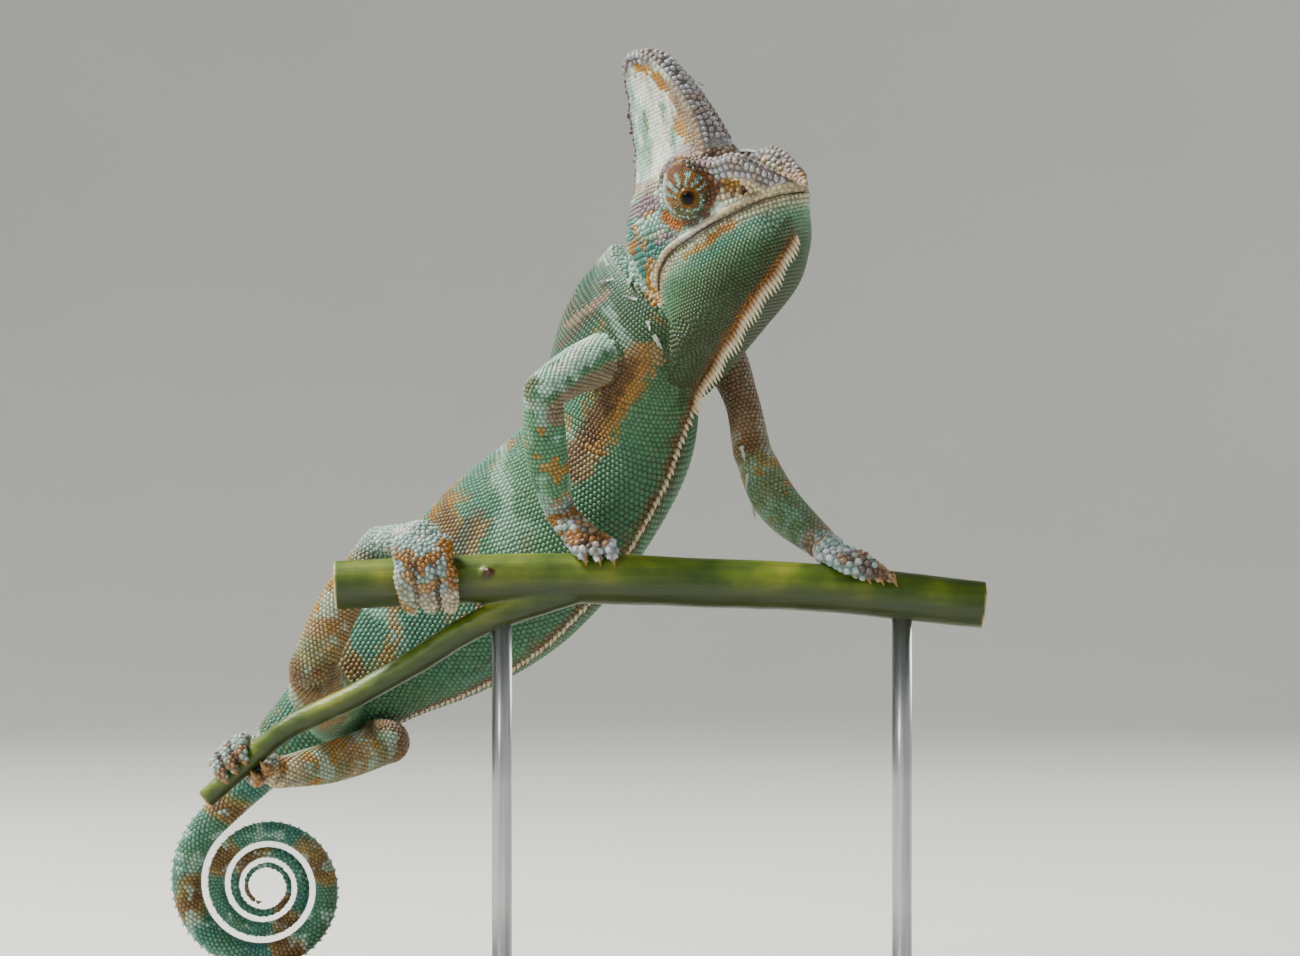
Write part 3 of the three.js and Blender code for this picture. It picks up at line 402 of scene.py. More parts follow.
def tail_rings(s, angles, grow):
    """Rings of the tail; angle 0 is its -Y side."""
    s = np.atleast_1d(np.asarray(s, float))
    way = unit(tail_points(s + 0.002) - tail_points(s - 0.002))
    across = unit(np.array([0.0, -1, 0]) + way * way[:, 1:2])
    up = np.cross(way, across)
    radius = (tail_radii(s) + grow)[:, None, None]
    ring = across[:, None] * np.cos(angles)[None, :, None] + up[:, None] * np.sin(angles)[None, :, None]
    return tail_points(s)[:, None] + radius * ring


def head_axes():
    """Forward, up and left directions of the turned head."""
    level = np.array([math.cos(HEAD_YAW), -math.sin(HEAD_YAW), 0])
    plumb = np.array([0.0, 0, 1])
    forward = level * math.cos(HEAD_PITCH) + plumb * math.sin(HEAD_PITCH)
    upright = -level * math.sin(HEAD_PITCH) + plumb * math.cos(HEAD_PITCH)
    sideways = np.cross(upright, forward)
    up = upright * math.cos(HEAD_ROLL) - sideways * math.sin(HEAD_ROLL)
    left = sideways * math.cos(HEAD_ROLL) + upright * math.sin(HEAD_ROLL)
    return np.array([forward, up, left])


HEAD_AXES = head_axes()


def head_points(abc):
    """Points in the room of places given in the head's own frame."""
    return HEAD_AT + np.asarray(abc, float) @ HEAD_AXES


def in_head(points):
    """Places a, b and c in the head of points in the room."""
    return (points - HEAD_AT) @ HEAD_AXES.T


def head_slice(s):
    """Height, ends, half width and bluntness of the head's level slices."""
    rows = (HEAD_B, HEAD_BACK, HEAD_FRONT, HEAD_HALF, HEAD_PEAK, HEAD_BLUNT_BACK, HEAD_BLUNT_FRONT)
    return [through(row, s) for row in rows]


def slice_half(s, share):
    """Half width of slice s at a share of the way from its back to its front."""
    _, _, _, half, peak, blunt_back, blunt_front = head_slice(s)
    share = np.clip(share, 0, 1)
    quarter = math.pi / 2
    rear = np.sin(quarter * np.minimum(share / peak, 1)) ** blunt_back
    fore = np.cos(quarter * np.clip((share - peak) / (1 - peak), 0, 1)) ** blunt_front
    return half * np.where(share < peak, rear, np.where(share >= 1, 0, fore))


def head_rings(s, points, grow):
    """Level rings of the head at slices s, from the back round the left side."""
    shares = (1 - np.cos(np.pi * np.arange(1, points) / points)) / 2
    rings = []
    for place in np.atleast_1d(s):
        b, back, front = [row[0] for row in head_slice(place)[:3]]
        back, front = back - grow, front + grow
        half = np.array([slice_half(place, share)[0] for share in shares]) + grow
        at = back + (front - back) * shares
        left = np.stack([at, np.full(len(at), b), half], axis=1)
        right = left[::-1] * [1, 1, -1]
        rings.append(np.concatenate([[[back, b, 0]], left, [[front, b, 0]], right]))
    return head_points(np.array(rings))


def slice_at(b):
    """The slice number whose height is b."""
    places = np.linspace(0, len(HEAD_B) - 1, 400)
    return np.interp(b, through(HEAD_B, places), places)


def head_half(a, b):
    """Half width of the head's own surface at places seen from the side."""
    s = slice_at(b)
    _, back, front, *_ = head_slice(s)
    return slice_half(s, (a - back) / (front - back))


def eye_frame(side, axis=EYE_AXIS):
    """Out, up and across directions of an eye; side is 1 on the left."""
    out = unit(np.array([axis[0], axis[1], side * axis[2]]) @ HEAD_AXES)
    up = unit(HEAD_AXES[1] - out * (HEAD_AXES[1] @ out))
    return out, up, np.cross(up, out)


def eye_centre(side):
    """The middle of an eye's turret; side is 1 on the left."""
    a, b, c = EYE_CENTRE
    return head_points([a, b, side * c])


def perch_frame(limb):
    """Centre, along, up and front directions and radius of the perch where a limb grips it."""
    path, radii = (BRANCH_PATH, BRANCH_RADII) if limb["perch"] == "branch" else (TWIG_PATH, TWIG_RADII)
    s = limb["along"] * (len(path) - 1)
    centre, axis = through(path, s)[0], way_through(path, s)[0]
    up = unit(np.array([0.0, 0, 1]) - axis * axis[2])
    front = unit(np.cross(axis, up))
    if front[1] > 0:
        front = -front
    return centre, axis, up, front, through(radii, s)[0]


def perch_place(grip, angle, out, along):
    """A place round the perch, by angle from its top, distance and shift along."""
    centre, axis, up, front, _ = grip
    turn = np.radians(angle)
    return centre + axis * along + up * (out * np.cos(turn)) + front * (out * np.sin(turn))


# ------------------------------------------------------------------ closed shells


def loft(rings):
    """Points and triangles of a closed shell through rings, closed to the middle at each end."""
    count, sides = rings.shape[:2]
    k = np.arange(sides)
    after = (k + 1) % sides
    row = (np.arange(count - 1) * sides)[:, None]
    quads = np.stack([row + k, row + after, row + after + sides, row + k + sides], axis=-1).reshape(-1, 4)
    points = np.concatenate([rings.reshape(-1, 3), [rings[0].mean(0), rings[-1].mean(0)]])
    first, last, top = count * sides, count * sides + 1, (count - 1) * sides
    start = np.stack([np.full(sides, first), after, k], axis=1)
    end = np.stack([np.full(sides, last), top + k, top + after], axis=1)
    triangles = np.concatenate([quads[:, [0, 1, 2]], quads[:, [0, 2, 3]], start, end])
    return points, outward(points, triangles)


def outward(points, triangles):
    """Turns a closed shell's triangles to face out."""
    a, b, c = (points[triangles[:, i]] for i in range(3))
    volume = np.einsum("ij,ij->", a, np.cross(b, c))
    return triangles if volume > 0 else triangles[:, [0, 2, 1]]


def tube_rings(points, radii, sides):
    """Round rings along points, carried along without twist."""
    points = np.asarray(points, float)
    way = unit(np.gradient(points, axis=0))
    helper = np.array([0.0, 0, 1]) if abs(way[0][2]) < 0.9 else np.array([1.0, 0, 0])
    across = unit(np.cross(helper, way[0]))
    angles = full_turn(sides)
    rings = []
    for point, direction, radius in zip(points, way, radii):
        across = unit(across - direction * (across @ direction))
        up = np.cross(direction, across)
        rings.append(point + radius * (np.outer(np.cos(angles), across) + np.outer(np.sin(angles), up)))
    return np.array(rings)


def rounded_line(path, radii, steps):
    """Points and radii along a smooth line, with both ends rounded."""
    path = np.asarray(path, float)
    points, widths = drawn(path, steps + 1), drawn(radii, steps + 1)
    share = np.array([0.25, 0.5, 0.71, 0.87, 0.97, 0.999])
    round_off = np.sqrt(1 - share ** 2)
    start = points[0] - way_through(path, 0)[0] * widths[0] * share[::-1, None]
    end = points[-1] + way_through(path, len(path) - 1)[0] * widths[-1] * share[:, None]
    return (np.concatenate([start, points, end]),
            np.concatenate([widths[0] * round_off[::-1], widths, widths[-1] * round_off]))


def rope(path, radii, grow, steps=28, sides=14):
    """A closed tube with rounded ends along a smooth line."""
    points, widths = rounded_line(path, np.asarray(radii) + grow, steps)
    return loft(tube_rings(points, widths, sides))


def ball(centre, axes, sizes, rings=24, sides=36):
    """An ellipsoid with the given half sizes along three directions."""
    polar = np.linspace(0.02, np.pi - 0.02, rings)[:, None]
    turn = full_turn(sides)[None]
    local = np.stack([
        np.sin(polar) * np.cos(turn), np.sin(polar) * np.sin(turn),
        np.cos(polar) * np.ones((1, sides))], axis=-1)
    return loft(centre + (local * sizes) @ np.array(axes))


def hoop(centre, across, up, wide, tall, radius, count=48, sides=12):
    """A closed rope laid in an oval."""
    out = np.cross(across, up)
    angle, turn = full_turn(count), full_turn(sides)
    way = np.cos(angle)[:, None] * across + np.sin(angle)[:, None] * up
    line = centre + np.cos(angle)[:, None] * across * wide + np.sin(angle)[:, None] * up * tall
    round_way = np.cos(turn)[None, :, None] * way[:, None] + np.sin(turn)[None, :, None] * out
    points = (line[:, None] + radius * round_way).reshape(-1, 3)
    r, k = np.meshgrid(np.arange(count), np.arange(sides), indexing="ij")
    row, next_row, after = r * sides, ((r + 1) % count) * sides, (k + 1) % sides
    triangles = np.concatenate([
        np.stack([row + k, row + after, next_row + after], axis=-1).reshape(-1, 3),
        np.stack([row + k, next_row + after, next_row + k], axis=-1).reshape(-1, 3)])
    return points, outward(points, triangles)


def joined(shells):
    """One set of points and triangles from many shells."""
    points, triangles, offset = [], [], 0
    for shell_points, shell_triangles in shells:
        points.append(shell_points)
        triangles.append(shell_triangles + offset)
        offset += len(shell_points)
    return np.concatenate(points), np.concatenate(triangles)


def mesh_of(name, points, faces):
    """A mesh from points in metres and faces that all have the same number of corners."""
    faces = np.asarray(faces, np.int32)
    mesh = bpy.data.meshes.new(name)
    mesh.vertices.add(len(points))
    mesh.vertices.foreach_set("co", np.asarray(points, np.float32).ravel())
    mesh.loops.add(faces.size)
    mesh.loops.foreach_set("vertex_index", faces.ravel())
    mesh.polygons.add(len(faces))
    mesh.polygons.foreach_set("loop_start", np.arange(len(faces), dtype=np.int32) * faces.shape[1])
    mesh.update(calc_edges=True)
    mesh.validate()
    return mesh


def shell_mesh(name, shells):
    """A mesh in metres from closed shells measured in mm."""
    points, triangles = joined(shells)
    return mesh_of(name, points * MM, triangles)


def rows_from(items, key):
    """Rows of three numbers read from a mesh's own list."""
    out = np.zeros(len(items) * 3, np.float32)
    items.foreach_get(key, out)
    return out.reshape(-1, 3).astype(float)


def points_of(mesh):
    """A mesh's points."""
    return rows_from(mesh.vertices, "co")


def normals_of(mesh):
    """A mesh's smooth normals, one for each point."""
    return rows_from(mesh.vertex_normals, "vector")


def move_points(mesh, points):
    """Gives a mesh's points new places."""
    mesh.vertices.foreach_set("co", np.asarray(points, np.float32).ravel())
    mesh.update()


def triangles_of(mesh):
    """A mesh's triangles."""
    mesh.calc_loop_triangles()
    out = np.zeros(len(mesh.loop_triangles) * 3, np.int32)
    mesh.loop_triangles.foreach_get("vertices", out)
    return out.reshape(-1, 3)


def piece(name, mesh, material, smooth=True):
    """A finished object of this model, at the origin, with its material and shading."""
    mesh.name = name
    mesh.materials.clear()
    mesh.materials.append(material)
    mesh.polygons.foreach_set("use_smooth", np.full(len(mesh.polygons), smooth))
    obj = bpy.data.objects.new(name, mesh)
    bpy.context.scene.collection.objects.link(obj)
    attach(obj, "root")
    return obj


def paint(mesh, name, colours):
    """Stores a colour for each point of a mesh."""
    layer = mesh.attributes.new(name, "FLOAT_COLOR", "POINT")
    rows = np.ones((len(mesh.vertices), 4), np.float32)
    rows[:, :3] = colours
    layer.data.foreach_set("color", rows.ravel())


def shaped(mesh, kind, **values):
    """The mesh after one modifier with the given settings."""
    obj = bpy.data.objects.new("shaping", mesh)
    bpy.context.scene.collection.objects.link(obj)
    modifier = obj.modifiers.new(kind.lower(), kind)
    for key, value in values.items():
        setattr(modifier, key, value)
    graph = bpy.context.evaluated_depsgraph_get()
    result = bpy.data.meshes.new_from_object(obj.evaluated_get(graph))
    bpy.data.objects.remove(obj)
    return result


# ------------------------------------------------------------------ the skin


def toe_middle(grip, limb, toe, lane, width, t):
    """The middle of a toe at a share of its way round the perch."""
    _, start, end, drift = toe
    angle = limb["palm"] + start + (end - start) * t
    return perch_place(grip, angle, grip[4] + TOE_CLEAR + width, lane * toe_spread(t) + drift * t)


def toe_spread(t):
    """How far a bundle of toes spreads at a share of its way."""
    return TOE_SPREAD[0] + (TOE_SPREAD[1] - TOE_SPREAD[0]) * t


def toe_radius(limb, t):
    """Half thickness of a toe at a share of its way."""
    return limb["toe_radius"] * (1 - TOE_THIN * t)


def toe_pad(grip, limb, toe, grow):
    """The joined part of a bundle of toes, as a broad mitten round the perch."""
    rings = []
    count = toe[0]
    for t in np.linspace(0, TOES_PART, 10):
        thick = toe_radius(limb, t)
        wide = limb["toe_radius"] * (count * 0.72 + 0.3) * (toe_spread(t) - toe_spread(0) + 1)
        middle = toe_middle(grip, limb, toe, 0, thick, t)
        ahead = unit(toe_middle(grip, limb, toe, 0, thick, t + 0.02) - middle)
        out = middle - grip[0]
        out = unit(out - grip[1] * (out @ grip[1]))
        across = unit(np.cross(out, ahead))
        angle = 2 * np.pi * (np.arange(20) + 0.5) / 20
        rings.append(middle + np.outer((wide + grow) * signed_power(np.cos(angle), 0.8), across)
                     + np.outer((thick + grow) * signed_power(np.sin(angle), 0.8), out))
    return loft(np.array(rings))


def toe_lane(limb, toe, index):
    """How far a toe lies beside the middle of its bundle."""
    return (index - (toe[0] - 1) / 2) * limb["toe_radius"] * 1.96


def toe_gap(points, limb):
    """How far places of a hand or foot are from the folds between its toes."""
    grip = perch_frame(limb)
    offset = points - grip[0]
    angle = np.degrees(np.arctan2(offset @ grip[3], offset @ grip[2])) - limb["palm"]
    gap = np.full(len(points), 9.0)
    for toe in limb["toes"]:
        t = np.clip(((angle - toe[1] + 180) % 360 - 180) / (toe[2] - toe[1]), 0, 1)
        for index in range(toe[0] - 1):
            lane = toe_lane(limb, toe, index + 0.5) * toe_spread(t) + toe[3] * t
            gap = np.where(t > 0.35, np.minimum(gap, np.abs(offset @ grip[1] - lane)), gap)
    return gap


def toe_tube(grip, limb, toe, index, grow):
    """The free end of one toe."""
    lane = toe_lane(limb, toe, index)
    points, widths = [], []
    for t in np.linspace(TOES_PART - 0.14, 1, 9):
        width = toe_radius(limb, t) * (1 - TOE_THIN * ease(0.85, 1.02, t))
        points.append(toe_middle(grip, limb, toe, lane, width, t))
        widths.append(width + grow)
    points, widths = rounded_line(points, widths, 12)
    return loft(tube_rings(points, widths, 14))


def foot_shells(limb, grow):
    """Palm and toes of one hand or foot."""
    grip = perch_frame(limb)
    wrist, wrist_radius = np.array(limb["lower"][0][-1]), limb["lower"][1][-1]
    palm = perch_place(grip, limb["palm"], grip[4] + limb["toe_radius"] * 1.25, 0)
    middle = wrist + (palm - wrist) * 0.55
    palm_radius = limb["toe_radius"] * 1.6
    shells = [rope([wrist, middle, palm], [wrist_radius, wrist_radius * 1.05, palm_radius], grow)]
    for toe in limb["toes"]:
        shells.append(toe_pad(grip, limb, toe, grow))
        shells += [toe_tube(grip, limb, toe, index, grow) for index in range(toe[0])]
    return shells


def head_rope(path, side, radii, grow):
    """A rope laid along a path of the head, on one side."""
    line = head_points(np.asarray(path) * [1, 1, side])
    return rope(line, radii, grow)


def mouth_path(lift, sink):
    """The mouth's line on the head's own surface, lifted and sunk."""
    half = np.maximum(head_half(MOUTH[:, 0], MOUTH[:, 1]) - sink, 0.4)
    return np.stack([MOUTH[:, 0], MOUTH[:, 1] + lift, half], axis=1)


def head_shells(grow):
    """The head with its brows, casque's edge, lips and eye turrets."""
    shells = [loft(head_rings(np.linspace(0, len(HEAD_B) - 1, 120), 48, grow))]
    under = BROW * [1, 1, 0.88] - [1.2, 2.2, 0]
    for side in (-1, 1):
        shells += [
            head_rope(BROW, side, BROW_RADII, grow),
            head_rope(under, side, BROW_UNDER_RADII, grow),
            head_rope((BROW + under) / 2 - [0.3, 0, 0.6], side, BROW_RADII, grow),
            head_rope(CREST_LINE, side, CREST_LINE_RADII, grow),
            head_rope(mouth_path(1.3, 0.5), side, LIP_RADII, grow),
        ]
        centre = eye_centre(side)
        out, up, across = eye_frame(side)
        wide, tall, deep = np.array(TURRET) + grow
        shells.append(ball(centre, [across, up, out], [wide, tall, deep]))
        rim_out, rim_up, rim_across = eye_frame(side, EYE_RIM_AXIS)
        shells.append(hoop(centre - rim_out * 0.6, rim_across, rim_up, wide + 1.2, tall + 1.2, 1.7 + grow))
    return shells


def body_shells(grow):
    """Trunk, tail and limbs."""
    shells = [loft(trunk_rings(np.linspace(0, TRUNK_END, 110), full_turn(72), grow))]
    rings = tail_rings(np.linspace(-TAIL_RUN, TAIL_TURNS, 420), full_turn(24), grow)
    tip = rings[-1].mean(0)
    way = unit(tip - rings[-2].mean(0))
    closing = [tip + (rings[-1] - tip) * math.sqrt(1 - q * q) + way * q * 0.8 for q in (0.4, 0.75, 0.95)]
    shells.append(loft(np.concatenate([rings, np.array(closing)])))
    for limb in LIMBS.values():
        for path, radii in (limb["upper"], limb["lower"]):
            shells.append(rope(path, radii, grow, 26, 28))
        shells += foot_shells(limb, grow)
    return shells


def smoothed(points, triangles, share, rounds):
    """Points eased towards their neighbours, then back, so that nothing shrinks."""
    edges = np.concatenate([triangles[:, [0, 1]], triangles[:, [1, 2]], triangles[:, [2, 0]]])
    edges = np.unique(np.sort(edges, axis=1), axis=0)
    count = np.bincount(edges.ravel(), minlength=len(points))[:, None]
    for step in range(rounds):
        total = np.zeros_like(points)
        for axis in range(3):
            total[:, axis] = (np.bincount(edges[:, 0], points[edges[:, 1], axis], len(points))
                              + np.bincount(edges[:, 1], points[edges[:, 0], axis], len(points)))
        pull = total / np.maximum(count, 1) - points
        points = points + pull * (share if step % 2 == 0 else -share * 0.94)
    return points


class Surface:
    """The skin as points, triangles and smooth normals, with a quick search for the nearest place."""

    def __init__(self, mesh):
        self.points = points_of(mesh)
        self.triangles = triangles_of(mesh)
        self.normals = normals_of(mesh)
        self.search = BVHTree.FromPolygons(self.points.tolist(), self.triangles.tolist())

    def onto(self, points):
        """Nearest places on the skin, its normals there and how far away they are."""
        found = [self.search.find_nearest(p) for p in points]
        places = np.array([f[0] for f in found])
        corner = self.triangles[np.array([f[2] for f in found])]
        gaps = np.linalg.norm(self.points[corner] - places[:, None], axis=2)
        weight = 1 / (gaps + 0.05)
        normals = unit((self.normals[corner] * weight[..., None]).sum(1))
        return places, normals, np.array([f[3] for f in found])


def mouth_line(side):
    """Closely spaced places of the mouth's line on one side."""
    return head_points(drawn(mouth_path(0, 0.35), 160) * [1, 1, side])


def mouth_gap(points, side):
    """How far points lie from the mouth's line on one side."""
    return nearest(tree_of(mouth_line(side)), points)[1]


def skin_mesh():
    """One closed skin over the whole animal, eased where its parts join."""
    size = props()
    grow = -size.coat_depth / MM
    voxel = size.skin_detail / MM
    mesh = mesh_of("skin_shells", *joined(head_shells(grow) + body_shells(grow)))
    mesh = shaped(mesh, "REMESH", mode="VOXEL", voxel_size=voxel)
    triangles = triangles_of(mesh)
    points = smoothed(points_of(mesh), triangles, *SKIN_EASING)
    move_points(mesh, points)
    normals = normals_of(mesh)
    a, b, _ = in_head(points).T
    near_head = np.nonzero((np.abs(b) < 12) & (a > -12))[0]

    def swell(gap, height, middle, half):
        lift = height * np.exp(-((gap - middle) / half) ** 2)
        points[near_head] += normals[near_head] * lift[:, None]

    for side in (-1, 1):
        swell(mouth_gap(points[near_head], side), *MOUTH_GROOVE)
        gap = np.linalg.norm(points[near_head] - nostril_place(side), axis=1)
        swell(gap, *NOSTRIL_PIT)
        swell(gap, *NOSTRIL_RIM)
    move_points(mesh, points)
    return shaped(mesh, "DECIMATE", ratio=min(1, SKIN_TRIANGLES / len(triangles)))


def nostril_place(side):
    """The middle of a nostril on the head's surface."""
    a, b = NOSTRIL
    return head_points([a, b, side * head_half(np.array([a]), np.array([b]))[0]])


# ------------------------------------------------------------------ markings


EYE_FOLD = [(1.6, 9.8), (2.8, 8), (5, 6)]

# Marks of the head, painted in order on both sides: colour, places a and b that the mark runs
# through, half width in mm, strength, and how ragged its edge is.
HEAD_MARKS = [
    ("pale_blue", [(-3.5, 47), (-6, 41), (-8, 33), (-9, 25)], 3.2, 0.8, 0.35),
    ("chalk", [(5, 43.8), (0, 42.5), (3.3, 38.2), (3.8, 33), (2.4, 28), (-0.8, 24), (0.5, 19)], 2.6, 1, 0.5),
    ("mint", [(5.4, 37), (5.8, 27.5)], 1.3, 0.8, 0.4),
    ("mint", [(-3.6, 32.5), (-4.6, 24)], 1.4, 0.7, 0.4),
    ("olive", [(-2.1, 37.2), (-1.9, 34.2)], 0.9, 0.85, 0.35),
    ("gold", [(0.5, 48.8), (4.8, 46.8), (7.5, 43.6), (8.6, 40.5)], 1.7, 1, 0.7),
    ("orange", [(5.4, 45), (6.4, 42)], 0.9, 0.9, 0.4),
    ("gold", [(8.8, 38), (9.8, 36), (10.4, 33.4)], 1.1, 0.85, 0.8),
    ("gold", [(10.2, 32), (11, 28.2), (12.3, 25)], 2.1, 0.9, 0.8),
    ("clay", [(13.4, 31), (14.8, 26), (17, 22.6), (19.4, 20.4)], 1.5, 0.85, 0.35),
    ("teal", [(-12, 7), (-9.5, 1), (-9.5, -5)], 5.2, 0.75, 0.2),
    ("pale_mint", [(-15, 1), (-14, -6)], 2.2, 0.6, 0.6),
    ("pale_blue", [(-7, 9), (-1, 8.6)], 2.4, 0.7, 0.5),
    ("clay", [(-12, 20), (-5, 18.6), (0, 18.4)], 2.2, 0.75, 0.45),
    ("violet", [(-13, 14.6), (-5, 14.8), (0.5, 14)], 2.1, 0.9, 0.45),
    ("pale_mint", [(-8, 10.4), (-2.6, 10.8)], 2, 0.8, 0.6),
    ("gold", [(-6.4, 12.2), (-2.6, 12.4)], 0.9, 0.9, 0.6),
    ("gold", [(-10.5, 10.6), (-8.4, 8.8)], 0.9, 0.8, 0.6),
    ("cream", [(-3.6, 6), (0, 6.6)], 1.4, 0.7, 0.6),
    ("teal", [(-8.4, 4.4), (-5, 7.4)], 2, 0.6, 1),
    ("gold", [(-7.4, 3.6), (-6.4, 6.6)], 0.8, 0.7, 0.9),
    ("violet", [(-2, 4.6), (1.4, 4.8), (5, 2.8)], 1.2, 0.7, 0.4),
    ("orange", [(-9.6, 6.9), (-12.6, 5)], 1.3, 0.95, 0.5),
    ("orange", [(-14.6, 6.6), (-15.6, 3.4)], 1, 0.9, 0.6),
    ("gold", [(-5.6, 1.4), (-8.4, -0.8)], 0.8, 0.8, 0.6),
    ("gold", [(-8.2, -1.8), (-10.4, -4.6), (-13, -6.8)], 1.3, 0.95, 0.3),
    ("orange", [(20, 1.4), (16.6, 0.9), (13.4, -0.6)], 1.2, 0.95, 0.5),
    ("gold", [(12.4, -1.3), (9, -1.2), (6.4, -2)], 0.9, 0.85, 0.7),
    ("teal", [(28.5, 0.4), (23.5, 0.3), (20.8, -1.6), (14.4, -3.4), (9.4, -4)], 1.5, 0.5, 0.4),
    # The umber arc is painted shadow in the fold between the eye's turret and the brow.
    ("umber", [(4.6, 19.6), (7.4, 21.4), (11.4, 21), (15.6, 18), (17.6, 14.6)], 1.7, 0.85, 0.2),
    ("violet", [(3.4, 21), (6.8, 23.4), (11.2, 23.6), (15.4, 21.2), (19.6, 16.8)], 1.3, 0.9, 0.2),
    ("gold", [(21.8, 12.6), (21.6, 11), (23, 9.8)], 1.2, 0.9, 0.6),
    ("rust", [(22.4, 8.6), (23.2, 8)], 0.9, 0.85, 0.4),
    ("pale_blue", [(8.6, 2.6), (13, 4.2), (18, 6.6)], 1.9, 0.7, 0.2),
    ("chalk", [(9, 2.4), (13, 3.8), (17, 5.6)], 1.2, 0.95, 0.3),
    ("rust", [(14, 7.2), (16.2, 9.6), (18, 13)], 1.5, 0.95, 0.25),
    ("umber", [(6.4, 6.4), (9.4, 5.6), (12.6, 6.6)], 0.8, 0.85, 0.25),
    ("bright_orange", EYE_FOLD, 1.3, 1, 0.35),
    ("chalk", [(1.6, 12), (2.4, 15.6), (4.6, 18.6)], 0.8, 0.85, 0.2),
]

# Marks along the throat's crest, by places x and z. The first, deep green on the crest's near side, is
# painted shade.
CREST_MARKS = [
    ("painted_shade_green", THROAT_CREST - [2.4, -1.5], 2, 0.6, 0.4),
    ("rust", THROAT_CREST - [0.7, -0.4], 0.9, 0.5, 0.4),
    ("gold", THROAT_CREST[1:8] - [0.2, -0.1], 0.7, 0.5, 0.7),
]

# Marks of the flank on the side that faces -Y: colour, places x and z, and as above.
TRUNK_MARKS = [
    ("deep_teal", [(-6, 184), (-3, 192), (2, 200)], 5, 0.7, 0.3),
    ("clay", [(-6, 189), (4.6, 197)], 1, 0.9, 0.3),
    ("brown", [(-8, 184), (1, 192)], 0.9, 0.6, 0.4),
    ("brown", [(-37, 127), (-30, 139)], 3, 0.6, 0.6),
    ("tan", [(-34, 127), (-27, 138)], 1.4, 0.7, 0.6),
    ("gold", [(-51.5, 115.5), (-50.5, 112)], 1.4, 0.6, 0.8),
    ("gold", [(-52, 107), (-53, 103)], 1.6, 0.6, 0.9),
    ("gold", [(-33, 113.5), (-29, 116)], 1.5, 0.6, 0.9),
    ("tan", [(13, 180), (6, 170), (0, 160), (-3.4, 154)], 4.6, 0.85, 0.4),
    ("gold", [(13, 179), (7.5, 169.5), (1, 159)], 2.8, 0.6, 0.9),
    # The next brown and umber strokes are painted shade along the near arm's edge, where it meets the flank.
    ("brown", [(9, 178), (2.6, 168), (-3.6, 158), (-6, 152)], 2.6, 0.75, 0.6),
    ("umber", [(8, 172), (1, 161)], 0.8, 0.6, 1),
]

# Marks of the near arm: as above.
ARM_MARKS = [
    ("rust", [(3.4, 188), (5.2, 185.6)], 1.1, 0.9, 0.4),
    # The clay band along the arm's underside is partly its own colour and partly painted shade. The pale mint
    # and chalk along its top are partly its own colour and partly painted highlight.
    ("clay", [(16, 184), (9, 178.5), (0, 172.5), (-8, 166)], 3.2, 0.85, 0.25),
    ("pale_mint", [(-10, 174), (-2, 182), (6, 188)], 3.4, 0.85, 0.6),
    ("chalk", [(-8, 177), (0, 185)], 1.2, 0.5, 1),
]

# Marks of the near hand and the near foot: as above.
HAND_MARKS = [
    ("orange", [(-9.6, 139.6), (-4, 141.4), (2, 139.6)], 1.3, 0.95, 0.6),
    ("orange", [(-7, 135.4), (-1, 134.6), (4, 135.8)], 1.2, 0.95, 0.7),
    ("gold", [(0, 138), (4, 134)], 1, 0.8, 0.8),
    ("rust", [(-9, 146), (-5, 143.4)], 1.4, 0.7, 0.6),
]
FOOT_MARKS = [
    ("orange", [(-48, 130.6), (-43.4, 128.4), (-39, 130.4), (-35.2, 133.4)], 1.6, 0.95, 0.9),
    ("orange", [(-35, 133), (-33.8, 128.6), (-34.6, 123)], 1.5, 0.95, 0.7),
    ("gold", [(-45, 125.6), (-41, 122), (-37, 124)], 1, 0.8, 1),
]


def line_gap(x, y, path):
    """How far places are from a line of straight stretches, in the same two measures."""
    gap = np.full(len(x), 1e9)
    for (x0, y0), (x1, y1) in zip(path[:-1], path[1:]):
        across, up = x1 - x0, y1 - y0
        t = np.clip(((x - x0) * across + (y - y0) * up) / (across ** 2 + up ** 2), 0, 1)
        gap = np.minimum(gap, np.hypot(x - x0 - t * across, y - y0 - t * up))
    return gap


def marked(colour, points, x, y, marks, share=1.0):
    """Paints marks on rows of colour, at places given in the marks' two measures."""
    tint = palette()
    for number, (name, path, half, strength, ragged) in enumerate(marks):
        gap = line_gap(x, y, path) / half
        near = np.nonzero(gap < 1.3 + 1.7 * ragged)[0]
        torn = gap[near] + ragged * (0.7 * cloud(points[near], 1.8 + 0.5 * half, 60 + number)
                                     + 0.8 * cloud(points[near], 1.1, 30 + number))
        painted = blend_in(colour[near], strength * ease(1.2, 0.75, torn), getattr(tint, name))
        colour[near] += (painted - colour[near]) * np.broadcast_to(share, len(x))[near][:, None]
    return colour


def mouth_height(a):
    """Height of the mouth's line at places along the head."""
    return np.interp(a, MOUTH[::-1, 0], MOUTH[::-1, 1])


